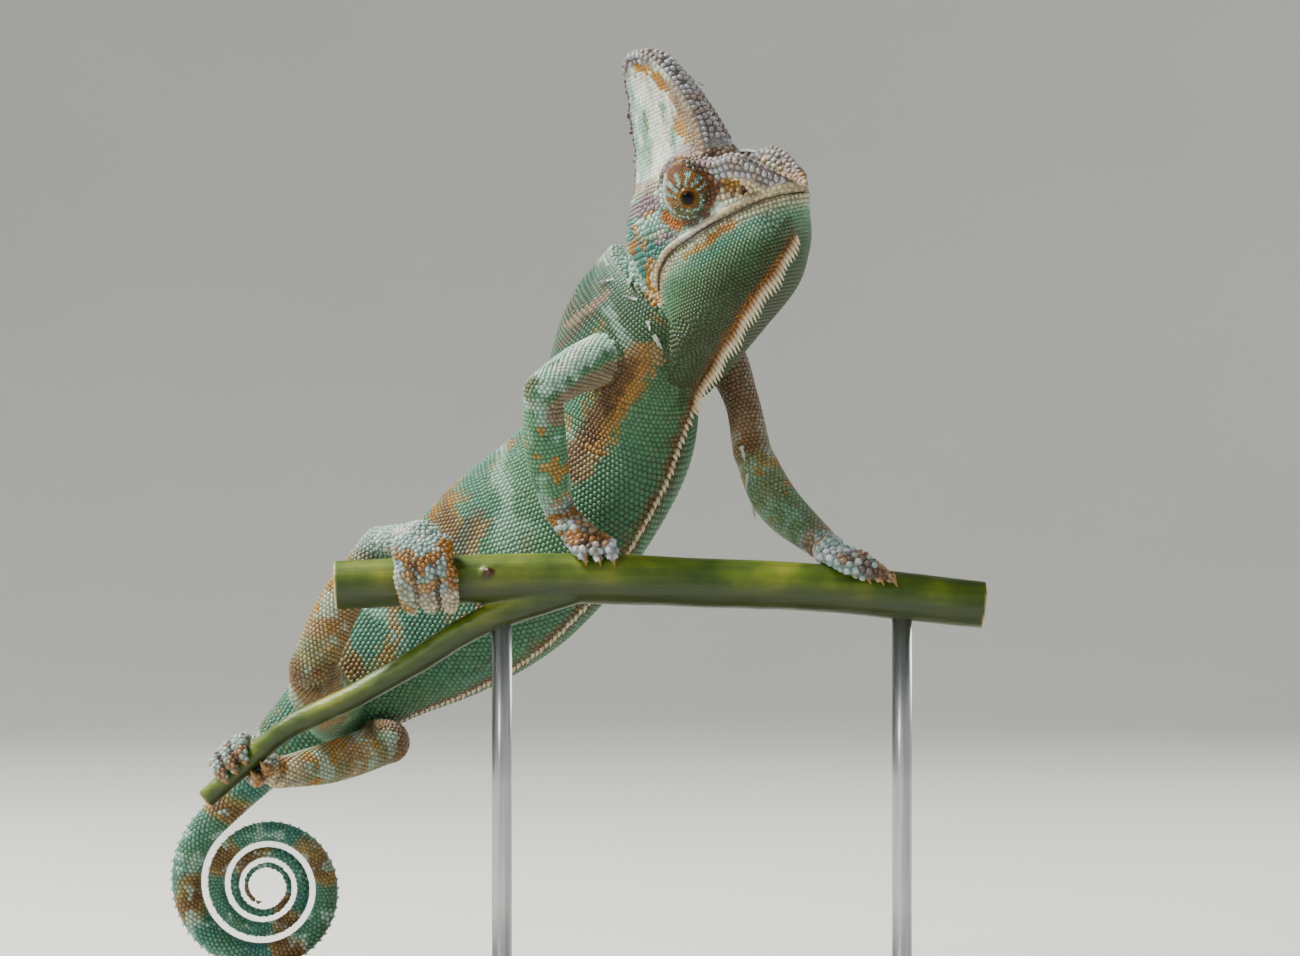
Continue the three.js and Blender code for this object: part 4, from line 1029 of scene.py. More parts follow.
def head_colours(points):
    """Markings of the head, by place in the head's own frame."""
    tint = palette()
    a, b, c = in_head(points).T
    blotch, fine = cloud(points, 9, 1), cloud(points, 3.2, 2)
    below = mouth_height(a) - b
    upper = ease(0, 0.6, -below)
    colour = np.tile(tint.mint, (len(points), 1))
    # Painted shade: the leaf green and the deep green that deepen down the throat below the mouth.
    colour = layered(
        colour,
        (0.3 * ease(8, 0, below) + 0.25 * blotch, tint.pale_mint),
        (0.8 * ease(1, 14, below), tint.leaf),
        (0.7 * ease(5, 0.5, below) * (below > 0), tint.cream),
        (0.95 * ease(4, 17, below) * (0.85 + 0.2 * blotch), tint.painted_shade_green))
    colour = marked(colour, points, points[:, 0], points[:, 2], CREST_MARKS, ease(1, -2, c))
    snout = upper * ease(14, 19, a)
    colour = layered(
        colour,
        (snout, tint.cream),
        (0.6 * snout * ease(0.2, 0.7, fine), tint.pale_mint))
    temple = upper * ease(5, 1, a) * ease(21, 16, b)
    colour = layered(
        colour,
        (temple, tint.teal),
        (0.65 * temple * ease(0, 0.5, fine), tint.pale_mint))
    casque = ease(17, 21, b - 0.12 * a) * upper
    colour = layered(
        colour,
        (casque, tint.pale_mint),
        (0.8 * casque * ease(0, 0.4, cloud(points * [1, 1, 0.5], 3.4, 5)), tint.chalk))
    colour = marked(colour, points, a, b, HEAD_MARKS[:5])
    streaks = cloud(points * [1, 1, 0.22], 1.5, 45)
    colour = layered(
        colour,
        (0.7 * casque * ease(0.15, 0.5, streaks), tint.chalk),
        (0.4 * casque * ease(0.25, 0.6, -streaks), tint.mint))
    colour = marked(colour, points, a, b, HEAD_MARKS[5:])
    ridge = ridge_distance(a, b, c)
    front_gap = front_edge_gap(a, b)
    clay = (b > 20) * ease(3, 2, front_gap + 0.8 * fine) * ease(46, 40, b)
    colour = blend_in(colour, 0.85 * clay * ease(4, 1.8, front_gap), tint.clay)
    rim = (b > 22) * ease(-0.6, -1.2, front_gap) + ease(49.2, 50.2, b + 0.3 * np.abs(a))
    hard = np.maximum(ease(3.3, 2.5, ridge) * upper * (a > 18), np.minimum(rim, 1))
    shine = layered(
        np.tile(tint.ridge_grey, (len(a), 1)),
        (0.7 * ease(-0.2, 0.6, cloud(points, 2.6, 7)), tint.clay),
        (0.4 * ease(0.3, 0.8, fine), tint.pale_blue))
    colour += (shine - colour) * hard[:, None]
    valley = (np.abs(c) < 4.6) * (b < 21) * (a > 19) * (b > mouth_height(a) + 3)
    colour = layered(
        colour,
        (valley * 0.85, tint.clay),
        (valley * ease(0.1, 0.5, blotch) * 0.8, tint.gold))
    back_gap = a - through(HEAD_BACK, slice_at(b))
    rear = (b > 12) * ease(1.9, 1.1, back_gap)
    beads = ease(-0.3, 0.3, np.sin(b * 3.1 + 2 * fine))
    colour += (blend_in(np.tile(tint.violet * 0.8, (len(a), 1)), beads, tint.clay) - colour) * rear[:, None]
    fold = line_gap(a, b, [(-4.4, -2.4), (-7.4, -5), (-9.8, -8.6), (-12.6, -8.4)])
    colour = layered(
        colour,
        (ease(2.6, 1.9, fold), tint.cream),
        (ease(2.6, 1.9, fold) * ease(-0.2, 0.4, np.cos(fold * 5.2)), tint.gold))
    lip = ease(0, 0.4, -below) * ease(2.9, 2.3, -below) * ease(-9, -3, a)
    colour = layered(
        colour,
        (0.9 * lip, tint.cream),
        (0.9 * lip * bump(9, 8, a), tint.chalk),
        (0.5 * lip * ease(-0.1, 0.4, fine), tint.clay),
        (0.5 * lip * ease(3, -4, a) * ease(0, 0.5, -fine), tint.violet))
    # A cream rim round each nostril; the brown in its middle is painted shade in the opening.
    nostril_gap = np.hypot(a - NOSTRIL[0], b - NOSTRIL[1])
    colour = layered(
        colour,
        (ease(2.2, 1.4, nostril_gap), tint.cream),
        (ease(1.1, 0.7, nostril_gap), tint.brown))
    nape = ease(-13, -17, a) * ease(16, 8, b) * ease(-12, -4, b)
    return blend_in(colour, 0.6 * nape * ease(-0.3, 0.5, blotch), tint.pale_mint)


def turret_colours(points, side):
    """Granules of the lids: orange bands run up from the eye, olive and pale arcs lie below."""
    tint = palette()
    out, up, across = eye_frame(side)
    offset = points - eye_centre(side)
    x, y, z = -side * (offset @ across), offset @ up, offset @ out
    angle, reach = np.arctan2(x, y), np.hypot(x, y)
    grain = cloud(points, 1.1, 3)
    colour = np.tile(tint.pale_mint, (len(points), 1))
    colour = blend_in(colour, 0.7 * ease(-0.1, 0.5, grain), tint.teal)
    rays = np.cos(angle * 13 + 0.7 * np.sin(reach * 0.9) + 0.8 * cloud(points, 3, 9))
    colour = layered(
        colour,
        (ease(-0.4, 0.1, rays), tint.rust),
        (0.9 * ease(0.1, 0.6, rays) * ease(-0.4, 0.2, cloud(points, 3, 8)), tint.orange))
    lower = ease(0.6, -1.4, y + 0.5 * grain)
    arcs = ease(-0.3, 0.3, np.cos(reach * 3.4 + 1.6 * grain))
    low = layered(
        np.tile(tint.olive, (len(points), 1)),
        (arcs * ease(-0.5, 0.2, grain), tint.pale_mint),
        (0.8 * ease(0.35, 0.7, grain), tint.teal),
        (0.8 * ease(0.3, 0.6, cloud(points, 2.2, 4)), tint.umber))
    colour += (low - colour) * lower[:, None]
    colour = layered(
        colour,
        (0.9 * bump(0, 1, np.hypot((x + 4.4) / 2.2, (y + 0.6) / 1.7)), tint.orange),
        (0.95 * bump(0, 1, np.hypot((x - 5.8) / 2.6, (y + 0.2) / 4.6)), tint.rust),
        (ease(3.3, 2.5, reach), tint.gold * 0.62))
    edge = ease(2.6, 1.2, z) + ease(6, 6.9, np.hypot(x * 1.15, y))
    return layered(
        colour,
        (edge * ease(0, 3, y), tint.rust),
        (0.7 * edge * ease(0, 3, y) * ease(-0.2, 0.3, grain), tint.orange),
        (0.6 * ease(-3.4, -5, y) * ease(-2, 0.5, x), tint.umber),
        (edge * ease(-1, -4, y) * ease(-1.5, 1, x), tint.umber),
        (0.9 * edge * ease(1, 4, x), tint.rust),
        (edge * ease(-2, -4.5, y) * ease(0.5, -2, x), tint.bright_orange),
        (0.6 * edge * ease(-3, -5, x) * ease(-3, 0, y), tint.pale_mint))


def ridge_distance(a, b, c):
    """How far a place of the head lies from the nearer brow."""
    line = drawn(BROW - [0, 0.8, 0], 40)
    places = np.stack([a, b, np.abs(c)], axis=1)
    return np.sqrt(((places[:, None] - line[None]) ** 2).sum(-1)).min(1)


def belly_turn(s):
    """How far the belly's crest is turned from the middle, because the neck twists."""
    return 0.15 * np.pi * ease(2.75, 1.7, np.asarray(s, float))


def trunk_place(points):
    """Station and angle round the trunk, from the belly's crest, of points in the room."""
    s = np.linspace(0, TRUNK_END, 181)
    centre, _, belly, left = trunk_frames(s)
    i, _ = nearest(tree_of(centre), points)
    offset = points - centre[i]
    x, y = np.sum(offset * belly[i], axis=1), np.sum(offset * left[i], axis=1)
    return s[i], np.arctan2(y / through(TRUNK_WIDTH, s[i]), x / through(TRUNK_DEPTH, s[i])) - belly_turn(s[i])


def trunk_colours(points):
    """Flank, belly and back: mint and teal with broken slanting bands of gold and brown."""
    tint = palette()
    s, angle = trunk_place(points)
    side = np.abs(angle) / np.pi
    blotch = cloud(points, 16, 11)
    colour = np.tile(tint.mint, (len(points), 1))
    # Painted shade: the deep green on the chest below the throat. The leaf green towards the belly crest is
    # partly the flank's own darker green and partly painted shade.
    colour = layered(
        colour,
        (0.6 * ease(-0.3, 0.8, cloud(points, 22, 12)), tint.teal),
        (0.6 * ease(0.55, 0.1, side) * (0.8 + 0.4 * blotch), tint.leaf),
        (0.6 * ease(2.2, 0.8, s), tint.painted_shade_green))
    band = np.cos(2 * np.pi * (s + 0.9 * side + 0.4 * blotch) / 1.9 - 1.1)
    across = ease(0.3, 0.5, side)
    broken = ease(-0.35, 0.3, cloud(points, 9, 17))
    grit = cloud(points, 1.4, 16)
    colour = layered(
        colour,
        (0.6 * across * broken * ease(0.5, 0.9, band + 0.3 * grit), tint.gold),
        (0.7 * across * broken * ease(0.8, 1.0, band + 0.25 * grit), tint.brown),
        (0.4 * across * ease(0.75, 0.95, -band), tint.pale_mint))
    spots = ease(0.4, 0.7, cloud(points, 5, 13) + 0.25 * grit)
    colour = blend_in(colour, 0.5 * spots * across, tint.gold)
    back = ease(0.68, 0.9, side)
    colour = layered(
        colour,
        (0.8 * back * ease(-0.2, 0.4, cloud(points, 9, 14)), tint.deep_teal),
        (0.7 * back * ease(0.25, 0.5, cloud(points, 8, 15)), tint.clay))
    near = angle < 0
    colour = marked(colour, points, points[:, 0], points[:, 2], TRUNK_MARKS, near.astype(float))
    rusty = ease(0.075, 0.02, side) * (0.6 + 0.5 * ease(-0.3, 0.3, cloud(points, 2.4, 18)))
    colour = layered(
        colour,
        (0.75 * rusty, tint.rust),
        (0.35 * ease(0.2, 0.06, side) * ease(0, 0.5, cloud(points, 3, 19)), tint.brown))
    colour = marked(colour, points, points[:, 0], points[:, 2], CREST_MARKS, near.astype(float))
    return blend_in(colour, 0.6 * ease(0.6, 0, s) * ease(0.4, 0.9, side), tint.pale_mint)


def tail_colours(points):
    """The tail: mint and teal with clay bands that turn to rings at its tip."""
    tint = palette()
    s = np.linspace(-TAIL_RUN, TAIL_TURNS, 400)
    i, _ = nearest(tree_of(tail_points(s)), points)
    length = np.log(1 + np.maximum(s[i] + TAIL_RUN, 0))
    colour = np.tile(tint.mint, (len(points), 1))
    colour = blend_in(colour, 0.5 + 0.5 * cloud(points, 9, 21), tint.teal)
    band = np.cos(38 * length + 0.8 * cloud(points, 8, 22))
    return layered(
        colour,
        (0.65 * ease(0.2, 0.7, band), tint.gold),
        (0.7 * ease(0.65, 0.95, band), tint.brown),
        (0.5 * ease(0.3, 0.6, cloud(points, 3, 23)), tint.pale_mint))


def limb_colours(points, name):
    """Arms and legs: mint and tan with pale beads, rusty at the joints, beaded hands and feet."""
    tint = palette()
    limb = LIMBS[name]
    line = np.concatenate([drawn(limb[key][0], 30) for key in ("upper", "lower")])
    i, _ = nearest(tree_of(line), points)
    along = i / 29.5
    leg, near_arm = "leg" in name, name == "arm_right"
    grain = cloud(points, 3.2, 34)
    colour = np.tile(tint.mint if near_arm else tint.tan, (len(points), 1))
    colour = layered(
        colour,
        (0.5 * ease(-0.2, 0.5, cloud(points, 8, 31)), tint.mint),
        (0.5 * ease(0.1, 0.6, cloud(points, 4, 32)), tint.pale_mint))
    if name == "arm_left":
        colour = layered(
            colour,
            (0.75 * ease(1.1, 0.7, along), tint.clay),
            (0.45 * ease(1.1, 0.7, along), tint.brown),
            (0.6 * ease(1, 1.3, along), tint.mint))
    colour = layered(
        colour,
        (0.75 * bump(1, 0.16, along) * ease(-0.4, 0.2, cloud(points, 5, 33)), tint.rust),
        (0.75 * ease(0.4, 0.65, grain) * ease(1, 1.3, along), tint.gold))
    if near_arm:
        colour = marked(colour, points, points[:, 0], points[:, 2], ARM_MARKS)
    else:
        shoulder = ease(0.55, 0.15, along + 0.12 * grain)
        colour += (trunk_colours(points) - colour) * shoulder[:, None]
    hand = ease(1.8, 1.97, along)
    grip = perch_frame(limb)
    high = (points - grip[0]) @ grip[2]
    colour = layered(
        colour,
        (hand, tint.pale_blue),
        (0.6 * hand * ease(0.1, 0.5, cloud(points, 3.4, 36)), tint.chalk))
    if leg:
        toes = ease(-1, -6, high)
        colour = layered(
            colour,
            (0.75 * hand * toes, tint.tan),
            (hand * toes * ease(0, 0.4, cloud(points, 2.4, 39)), tint.cream))
    else:
        colour = blend_in(colour, 0.8 * hand * ease(-0.1, 0.4, cloud(points, 2.8, 40)), tint.lilac)
    if near_arm or name == "leg_right":
        marks = HAND_MARKS if near_arm else FOOT_MARKS
        colour = marked(colour, points, points[:, 0], points[:, 2], marks, hand)
    else:
        colour = blend_in(colour, 0.8 * hand * ease(0, 0.4, cloud(points, 3.6, 35)), tint.orange)
    # Painted shade: umber in the folds between the toes.
    return blend_in(colour, 0.85 * hand * ease(0.95, 0.45, toe_gap(points, limb)), tint.umber)


# ------------------------------------------------------------------ scales


def loop_points(ring, size, shift):
    """Evenly spaced places round a closed ring, about a size apart."""
    closed = np.concatenate([ring, ring[:1]])
    along = travelled(closed)
    count = max(3, int(round(along[-1] / size)))
    return at_lengths(closed, along, (np.arange(count) + shift) / count * along[-1])


def rows_of(rings_at, start, end, size):
    """Staggered rows of places over a shape given by its rings."""
    fine = np.linspace(start, end, 240)
    rings = rings_at(fine)
    stride = np.linalg.norm(np.diff(rings, axis=0), axis=2).mean(1)
    along = np.concatenate([[0], np.cumsum(stride)])
    count = max(2, int(along[-1] / (size * 0.866)))
    places = np.interp((np.arange(count) + 0.5) / count * along[-1], along, fine)
    rows = rings_at(places)
    return np.concatenate([loop_points(ring, size, 0.5 * (i % 2)) for i, ring in enumerate(rows)])


PARTS = ["trunk", "tail", "head", "turret_right", "turret_left"] + list(LIMBS)
TRUNK, TAIL, HEAD, TURRET_RIGHT, TURRET_LEFT, FIRST_LIMB = range(6)


def stacked(rows):
    """All places of rows that are given as a value and places, and each place's value."""
    return (np.concatenate([places for _, places in rows]),
            np.concatenate([np.full(len(places), value) for value, places in rows]))


def part_rows():
    """Rows of scale places for every part, with the part's number for each place."""
    size = props()
    flank, throat, limb_size = size.flank_scale / MM, size.throat_scale / MM, size.limb_scale / MM
    grow = -size.coat_depth / MM
    low, high = (slice_at(np.array([b]))[0] for b in (4.5, 19))
    runs = (
        (TRUNK, lambda s: trunk_rings(s, full_turn(160), grow), flank,
         ((0.1, 2.2, 0.8), (2.2, 3, 0.9), (3, TRUNK_END, 1))),
        (TAIL, lambda s: tail_rings(s, full_turn(64), grow), flank,
         ((-TAIL_RUN, 0.6, 0.9), (0.6, 1.5, 0.76), (1.5, TAIL_TURNS, 0.6))),
        (HEAD, lambda s: head_rings(s, 60, grow), throat,
         ((0.1, low, 1), (low, high, 1.25), (high, len(HEAD_B) - 1.05, 1))),
    )
    rows = [(part, rows_of(rings_at, start, end, scale * share))
            for part, rings_at, scale, stretches in runs for start, end, share in stretches]
    for part, side in ((TURRET_RIGHT, -1), (TURRET_LEFT, 1)):
        rows.append((part, turret_rows(side, size.lid_scale / MM)))
    for part, limb in enumerate(LIMBS.values(), FIRST_LIMB):
        for path, radii in (limb["upper"], limb["lower"]):
            rings = tube_rings(*rounded_line(path, np.array(radii) + grow, 30), 64)
            rows.append((part, rows_of(lambda s, r=rings: ring_blend(r, s), 4, len(rings) - 5, limb_size)))
    return stacked(rows)


def ring_blend(rings, s):
    """Rings between given rings."""
    low = np.clip(np.floor(s).astype(int), 0, len(rings) - 2)
    share = (s - low)[:, None, None]
    return rings[low] * (1 - share) + rings[low + 1] * share


def turret_rows(side, size):
    """Rings of granules from the rim of the eye's opening back to the socket."""
    out, up, across = eye_frame(side)
    wide, tall, deep = TURRET
    centre = eye_centre(side)
    rows = []
    polar = 0.43
    index = 0
    while polar < 1.75:
        radius = math.sin(polar)
        count = max(8, int(round(2 * math.pi * radius * (wide + tall) / 2 / size)))
        turn = 2 * np.pi * (np.arange(count) + 0.5 * (index % 2)) / count
        rows.append(centre + np.outer(wide * radius * np.sin(turn), across)
                    + np.outer(tall * radius * np.cos(turn), up) + out * deep * math.cos(polar))
        polar += size * 0.9 / 7.3
        index += 1
    return np.concatenate(rows)


def line_places(line, spacing):
    """Places along a line at even spacing."""
    along = travelled(line)
    return at_lengths(line, along, np.arange(spacing / 2, along[-1], spacing))


def chosen_rows():
    """The few rows of larger scales: both lips, the casque's edges and the ridges, with their sizes."""
    rows = []
    ahead, up, left = HEAD_AXES

    def row(line, spacing, size):
        rows.append((size, line_places(line, spacing)))

    for side in (-1, 1):
        lips = mouth_line(side)
        for lift, spacing, size in ((0, 0.4, 0.45), (1.04, 1.7, 1.45), (-0.86, 1.15, 1.15), (2.2, 1.4, 1.3)):
            row(lips + up * lift, spacing, size)
        brow = head_points(through(BROW, np.linspace(0, len(BROW) - 1.2, 90)) * [1, 1, side])
        for lift, spread in ((1.6, 0), (0.4, 2), (-1.4, 2.2)):
            row(brow + up * lift + left * side * spread, 1.65, 1.65)
        edge = head_points(drawn(CREST_LINE, 90) * [1, 1, side])
        for reach, spread in ((0, 1.6), (0.9, 0)):
            row(edge + ahead * reach + left * side * spread, 1.55, 1.55)
    for line, shift, low, high, size in ((HEAD_BACK, 0.4, 14, 50.5, 1.5), (HEAD_FRONT, -0.4, 24, 51, 1.6)):
        b = np.linspace(low, high, 90)
        row(head_points(np.stack([through(line, slice_at(b)) + shift, b, 0 * b], axis=1)), size, size)
    return stacked(rows)


def size_at(points, label):
    """How far apart scales stand at each place."""
    size = props()
    flank, throat, limb_size = size.flank_scale / MM, size.throat_scale / MM, size.limb_scale / MM
    out = flank * (1 - 0.2 * ease(158, 176, points[:, 2]))
    out[label == TAIL] = flank * 0.76
    a, b, c = in_head(points).T
    above = b - mouth_height(a)
    wide = np.maximum(ease(5, 1, a) * ease(21, 18, b), ease(15, 18, a))
    upper = throat * (1 + 0.28 * wide + 0.1 * cloud(points, 4, 41))
    upper = np.where(line_gap(a, b, EYE_FOLD) < 2.2, 0.72 * throat, upper)
    upper = np.where(hard_places(a, b, c, 17), size.ridge_scale / MM, upper)
    head = label == HEAD
    out[head] = np.where(above > 0, upper, throat)[head]
    out[(label == TURRET_RIGHT) | (label == TURRET_LEFT)] = size.lid_scale / MM
    out[label >= FIRST_LIMB] = limb_size
    for number, middle in foot_places()[:2]:
        near = np.linalg.norm(points - middle, axis=1) < HAND_REACH
        out[near & (label == number)] = 1.5 * size.limb_scale / MM
    return out


def front_edge_gap(a, b):
    """How far behind the casque's front edge places lie."""
    return np.interp(b, CREST_LINE[:, 1], CREST_LINE[:, 0]) - a


def hard_places(a, b, c, start):
    """Which places of the head carry the large hard scales of brows and casque."""
    brow = (ridge_distance(a, b, c) < 3.2) & (b - mouth_height(a) > 3) & (a > start)
    return brow | ((b > 24) & (front_edge_gap(a, b) < -0.8))


def thinned(points, normals, sizes, rank, share=ROW_SHARE):
    """Which places to keep so that none crowd, the lowest rank first."""
    tree = tree_of(points)
    keep = np.ones(len(points), bool)
    for i in np.argsort(rank, kind="stable"):
        if not keep[i]:
            continue
        for _, j, gap in tree.find_range(points[i], sizes[i] * share * 1.4):
            if j != i and keep[j] and rank[j] >= rank[i] and gap < share * (sizes[i] + sizes[j]) / 2:
                if normals[i] @ normals[j] > 0:
                    keep[j] = False
    return keep


def scattered(surface, count, rng):
    """Even random places on the skin."""
    corners = surface.points[surface.triangles]
    area = np.linalg.norm(np.cross(corners[:, 1] - corners[:, 0], corners[:, 2] - corners[:, 0]), axis=1)
    pick = np.minimum(np.searchsorted(np.cumsum(area) / area.sum(), rng.random(count)), len(area) - 1)
    u, v = rng.random(count), rng.random(count)
    turned = u + v > 1
    u, v = np.where(turned, 1 - u, u)[:, None], np.where(turned, 1 - v, v)[:, None]
    tri = corners[pick]
    normals = unit(surface.normals[surface.triangles[pick]].mean(1))
    return tri[:, 0] * (1 - u - v) + tri[:, 1] * u + tri[:, 2] * v, normals


def neighbour_table(points, count):
    """The numbers of each point's nearest neighbours."""
    tree = tree_of(points)
    table = np.zeros((len(points), count), int)
    for i, p in enumerate(points):
        found = [f[1] for f in tree.find_n(p, count + 1) if f[1] != i][:count]
        table[i, :len(found)] = found
    return table


def foot_places():
    """Where the middle of each foot is, with its limb's number."""
    return [(number, perch_frame(limb)[0]) for number, limb in enumerate(LIMBS.values(), FIRST_LIMB)]


def picked(keep, *rows):
    """The chosen entries of several rows."""
    return [row[keep] for row in rows]


def row_scales(surface):
    """Scales of the rows: places, normals, part numbers and sizes, and whether each is a large one."""
    points, label = part_rows()
    places, normals, gap = surface.onto(points)
    near = gap < np.where(label > HEAD, LIMB_REACH, BODY_REACH)
    places, normals, label = picked(near, places, normals, label)
    big, big_size = chosen_rows()
    big, big_normals, gap = surface.onto(big)
    big, big_normals, big_size = picked(gap < LARGE_REACH, big, big_normals, big_size)
    sizes = np.concatenate([big_size, size_at(places, label)])
    points, normals = np.concatenate([big, places]), np.concatenate([big_normals, normals])
    label = np.concatenate([np.full(len(big), HEAD), label])
    rank = np.concatenate([np.zeros(len(big)), np.ones(len(places))])
    keep = thinned(points, normals, sizes, rank)
    return picked(keep, points, normals, label, sizes, rank == 0)


def free_scales(surface, points, label, sizes, rng):
    """Scales at random places that those of the rows leave free."""
    places, normals = scattered(surface, TRIED_PLACES[bool(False)], rng)
    i, gap = nearest(tree_of(points), places)
    part = label[i]
    for number, middle in foot_places():
        part = np.where(np.linalg.norm(places - middle, axis=1) < FOOT_REACH, number, part)
    size = size_at(places, part)
    free = gap > FREE_GAP * (size + sizes[i]) / 2
    places, normals, part, size = picked(free, places, normals, part, size)
    keep = thinned(places, normals, size, rng.random(len(places)), FREE_SHARE)
    return picked(keep, places, normals, part, size)


def pushed_apart(surface, points, normals, sizes, fixed):
    """Places and normals after crowded scales have moved apart, the fixed ones least."""
    for _ in range(PUSH_ROUNDS[bool(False)]):
        table = neighbour_table(points, 7)
        offset = points[:, None] - points[table]
        gap = np.maximum(np.linalg.norm(offset, axis=2), 1e-6)
        wanted = (sizes[:, None] + sizes[table]) / 2
        facing = np.einsum("ik,ijk->ij", normals, normals[table]) > 0
        push = np.clip(wanted - gap, 0, None) * facing * PUSH_SHARE
        move = (offset / gap[..., None] * push[..., None]).sum(1)
        move[fixed] *= FIXED_SHARE
        limit = LONGEST_PUSH * sizes[:, None]
        length = np.maximum(np.linalg.norm(move, axis=1, keepdims=True), 1e-9)
        move *= np.minimum(1, limit / length)
        points, normals, _ = surface.onto(points + move)
    return points, normals


def scale_places(surface):
    """Places, normals, sizes and part numbers of every scale."""
    rng = np.random.default_rng(7)
    *rows, fixed = row_scales(surface)
    points, _, label, sizes = rows
    free = free_scales(surface, points, label, sizes, rng)
    points, normals, label, sizes = (np.concatenate(pair) for pair in zip(rows, free))
    fixed = np.concatenate([fixed, np.zeros(len(free[0]), bool)])
    points, normals = pushed_apart(surface, points, normals, sizes, fixed)
    return points, normals, sizes, label


def open_places(points, label):
    """Which places may carry a scale: not in the mouth's line, a nostril or an eye's opening."""
    keep = np.ones(len(points), bool)
    near_head = np.nonzero(label == HEAD)[0]
    for side in (-1, 1):
        keep[near_head[mouth_gap(points[near_head], side) < MOUTH_CLEAR]] = False
        keep &= np.linalg.norm(points - nostril_place(side), axis=1) > NOSTRIL_CLEAR
        out, up, across = eye_frame(side)
        offset = points - eye_centre(side)
        keep &= (np.hypot(offset @ across, offset @ up) > EYE_CLEAR) | (offset @ out < 4)
    return keep


def markings(points, label):
    """The colour of the animal at each place."""
    painters = {
        "trunk": trunk_colours, "tail": tail_colours, "head": head_colours,
        "turret_right": lambda at: turret_colours(at, -1),
        "turret_left": lambda at: turret_colours(at, 1),
    }
    colour = np.zeros((len(points), 3))
    for number, name in enumerate(PARTS):
        here = label == number
        if here.any():
            painter = painters.get(name, lambda at: limb_colours(at, name))
            colour[here] = painter(points[here])
    return colour


def scale_shapes(points, normals, sizes, table):
    """Corner directions and reaches of each scale, up to halfway to its neighbours."""
    helper = np.where(np.abs(normals[:, 2:]) < 0.9, [[0.0, 0, 1]], [[1.0, 0, 0]])
    first = unit(np.cross(helper, normals))
    second = np.cross(normals, first)
    offset = points[table] - points[:, None]
    x, y = np.einsum("ijk,ik->ij", offset, first), np.einsum("ijk,ik->ij", offset, second)
    facing = np.einsum("ik,ijk->ij", normals, normals[table]) > 0.2
    distance = np.where(facing, np.hypot(x, y), 1e3)
    order = np.argsort(distance, axis=1)[:, :6]
    ring = np.sort(np.take_along_axis(np.arctan2(y, x), order, axis=1), axis=1)
    after = np.concatenate([ring[:, 1:], ring[:, :1] + 2 * np.pi], axis=1)
    corner = (ring + after) / 2
    weight = 2 * sizes[:, None] / (sizes[:, None] + sizes[table])
    lean = x[:, None] * np.cos(corner)[..., None] + y[:, None] * np.sin(corner)[..., None]
    halfway = distance[:, None] ** 2 * weight[:, None] / (2 * np.maximum(lean, 1e-4))
    reach = np.where((lean > 1e-4) & facing[:, None], halfway, 1e3)
    reach = np.minimum(reach.min(2), WIDEST_REACH * sizes[:, None])
    return first, second, corner, reach


def scale_mesh(name, points, normals, sizes, table, chosen, colour, tall, dark):
    """Domed scales at the chosen places, each with six corners, a shoulder and a crown."""
    first, second, corner, reach = [part[chosen] for part in scale_shapes(points, normals, sizes, table)]
    at, normal, size = points[chosen], normals[chosen], sizes[chosen]
    height = (tall[chosen] * size)[:, None, None]
    spoke = np.cos(corner)[..., None] * first[:, None] + np.sin(corner)[..., None] * second[:, None]
    base = at[:, None] + spoke * reach[..., None] * FILLED_SHARE - normal[:, None] * ROOT_DEPTH
    round_reach = OWN_REACH * reach + MEAN_REACH * reach.mean(1, keepdims=True)
    shoulder = (at[:, None] + spoke * round_reach[..., None] * SHOULDER_REACH
                + normal[:, None] * height * SHOULDER_HEIGHT)
    crown = at[:, None] + normal[:, None] * height
    corners = np.concatenate([base, shoulder, crown], axis=1)
    k = np.arange(6)
    after = (k + 1) % 6
    faces = np.concatenate([
        np.stack([k, after, after + 6], axis=1), np.stack([k, after + 6, k + 6], axis=1),
        np.stack([k + 6, after + 6, np.full(6, 12)], axis=1)])
    triangles = (np.arange(len(at)) * 13)[:, None, None] + faces
    mesh = mesh_of(name, corners.reshape(-1, 3) * MM, triangles.reshape(-1, 3))
    tone_up = colour[chosen]
    # Corner colours: the base is darkened by the painted shade between scales, and the crown is lightened by
    # a painted highlight that grows with the scale's height.
    shades = np.concatenate([
        np.repeat((tone_up * dark[chosen][:, None])[:, None], 6, axis=1),
        np.repeat(tone_up[:, None], 6, axis=1),
        (tone_up * (1 + CROWN_PAINTED_HIGHLIGHT * tall[chosen][:, None]))[:, None]], axis=1)
    paint(mesh, "markings", shades.reshape(-1, 3))
    unwrap(mesh, at, corner)
    return mesh


def unwrap(mesh, roots, corner):
    """The bake map: each scale is a small patch at its root's place on the part laid flat."""
    middle = roots.mean(0)
    axes = np.linalg.svd(roots[:: max(1, len(roots) // 800)] - middle, full_matrices=False)[2]
    local = (roots - middle) @ axes.T
    low, high = local[:, 0].min(), local[:, 0].max()
    bins = np.clip(((local[:, 0] - low) / (high - low + 1e-6) * 24).astype(int), 0, 23)
    heart = np.zeros((24, 2))
    for i in range(24):
        here = bins == i
        heart[i] = local[here, 1:].mean(0) if here.any() else heart[max(i - 1, 0)]
    radial = local[:, 1:] - heart[bins]
    u = 0.01 + 0.98 * (np.arctan2(radial[:, 1], radial[:, 0]) / (2 * np.pi) + 0.5)
    v = 0.01 + 0.98 * (local[:, 0] - low) / (high - low + 1e-6)
    centre = np.stack([u, v], axis=1)[:, None]
    spoke = np.stack([np.cos(corner), np.sin(corner)], axis=-1)
    patch = np.concatenate([centre + spoke * 0.0015, centre + spoke * 0.001, centre], axis=1).reshape(-1, 2)
    layer = mesh.uv_layers.new(name="OFBake")
    corners = np.zeros(len(mesh.loops), np.int32)
    mesh.loops.foreach_get("vertex_index", corners)
    layer.data.foreach_set("uv", patch[corners].astype(np.float32).ravel())


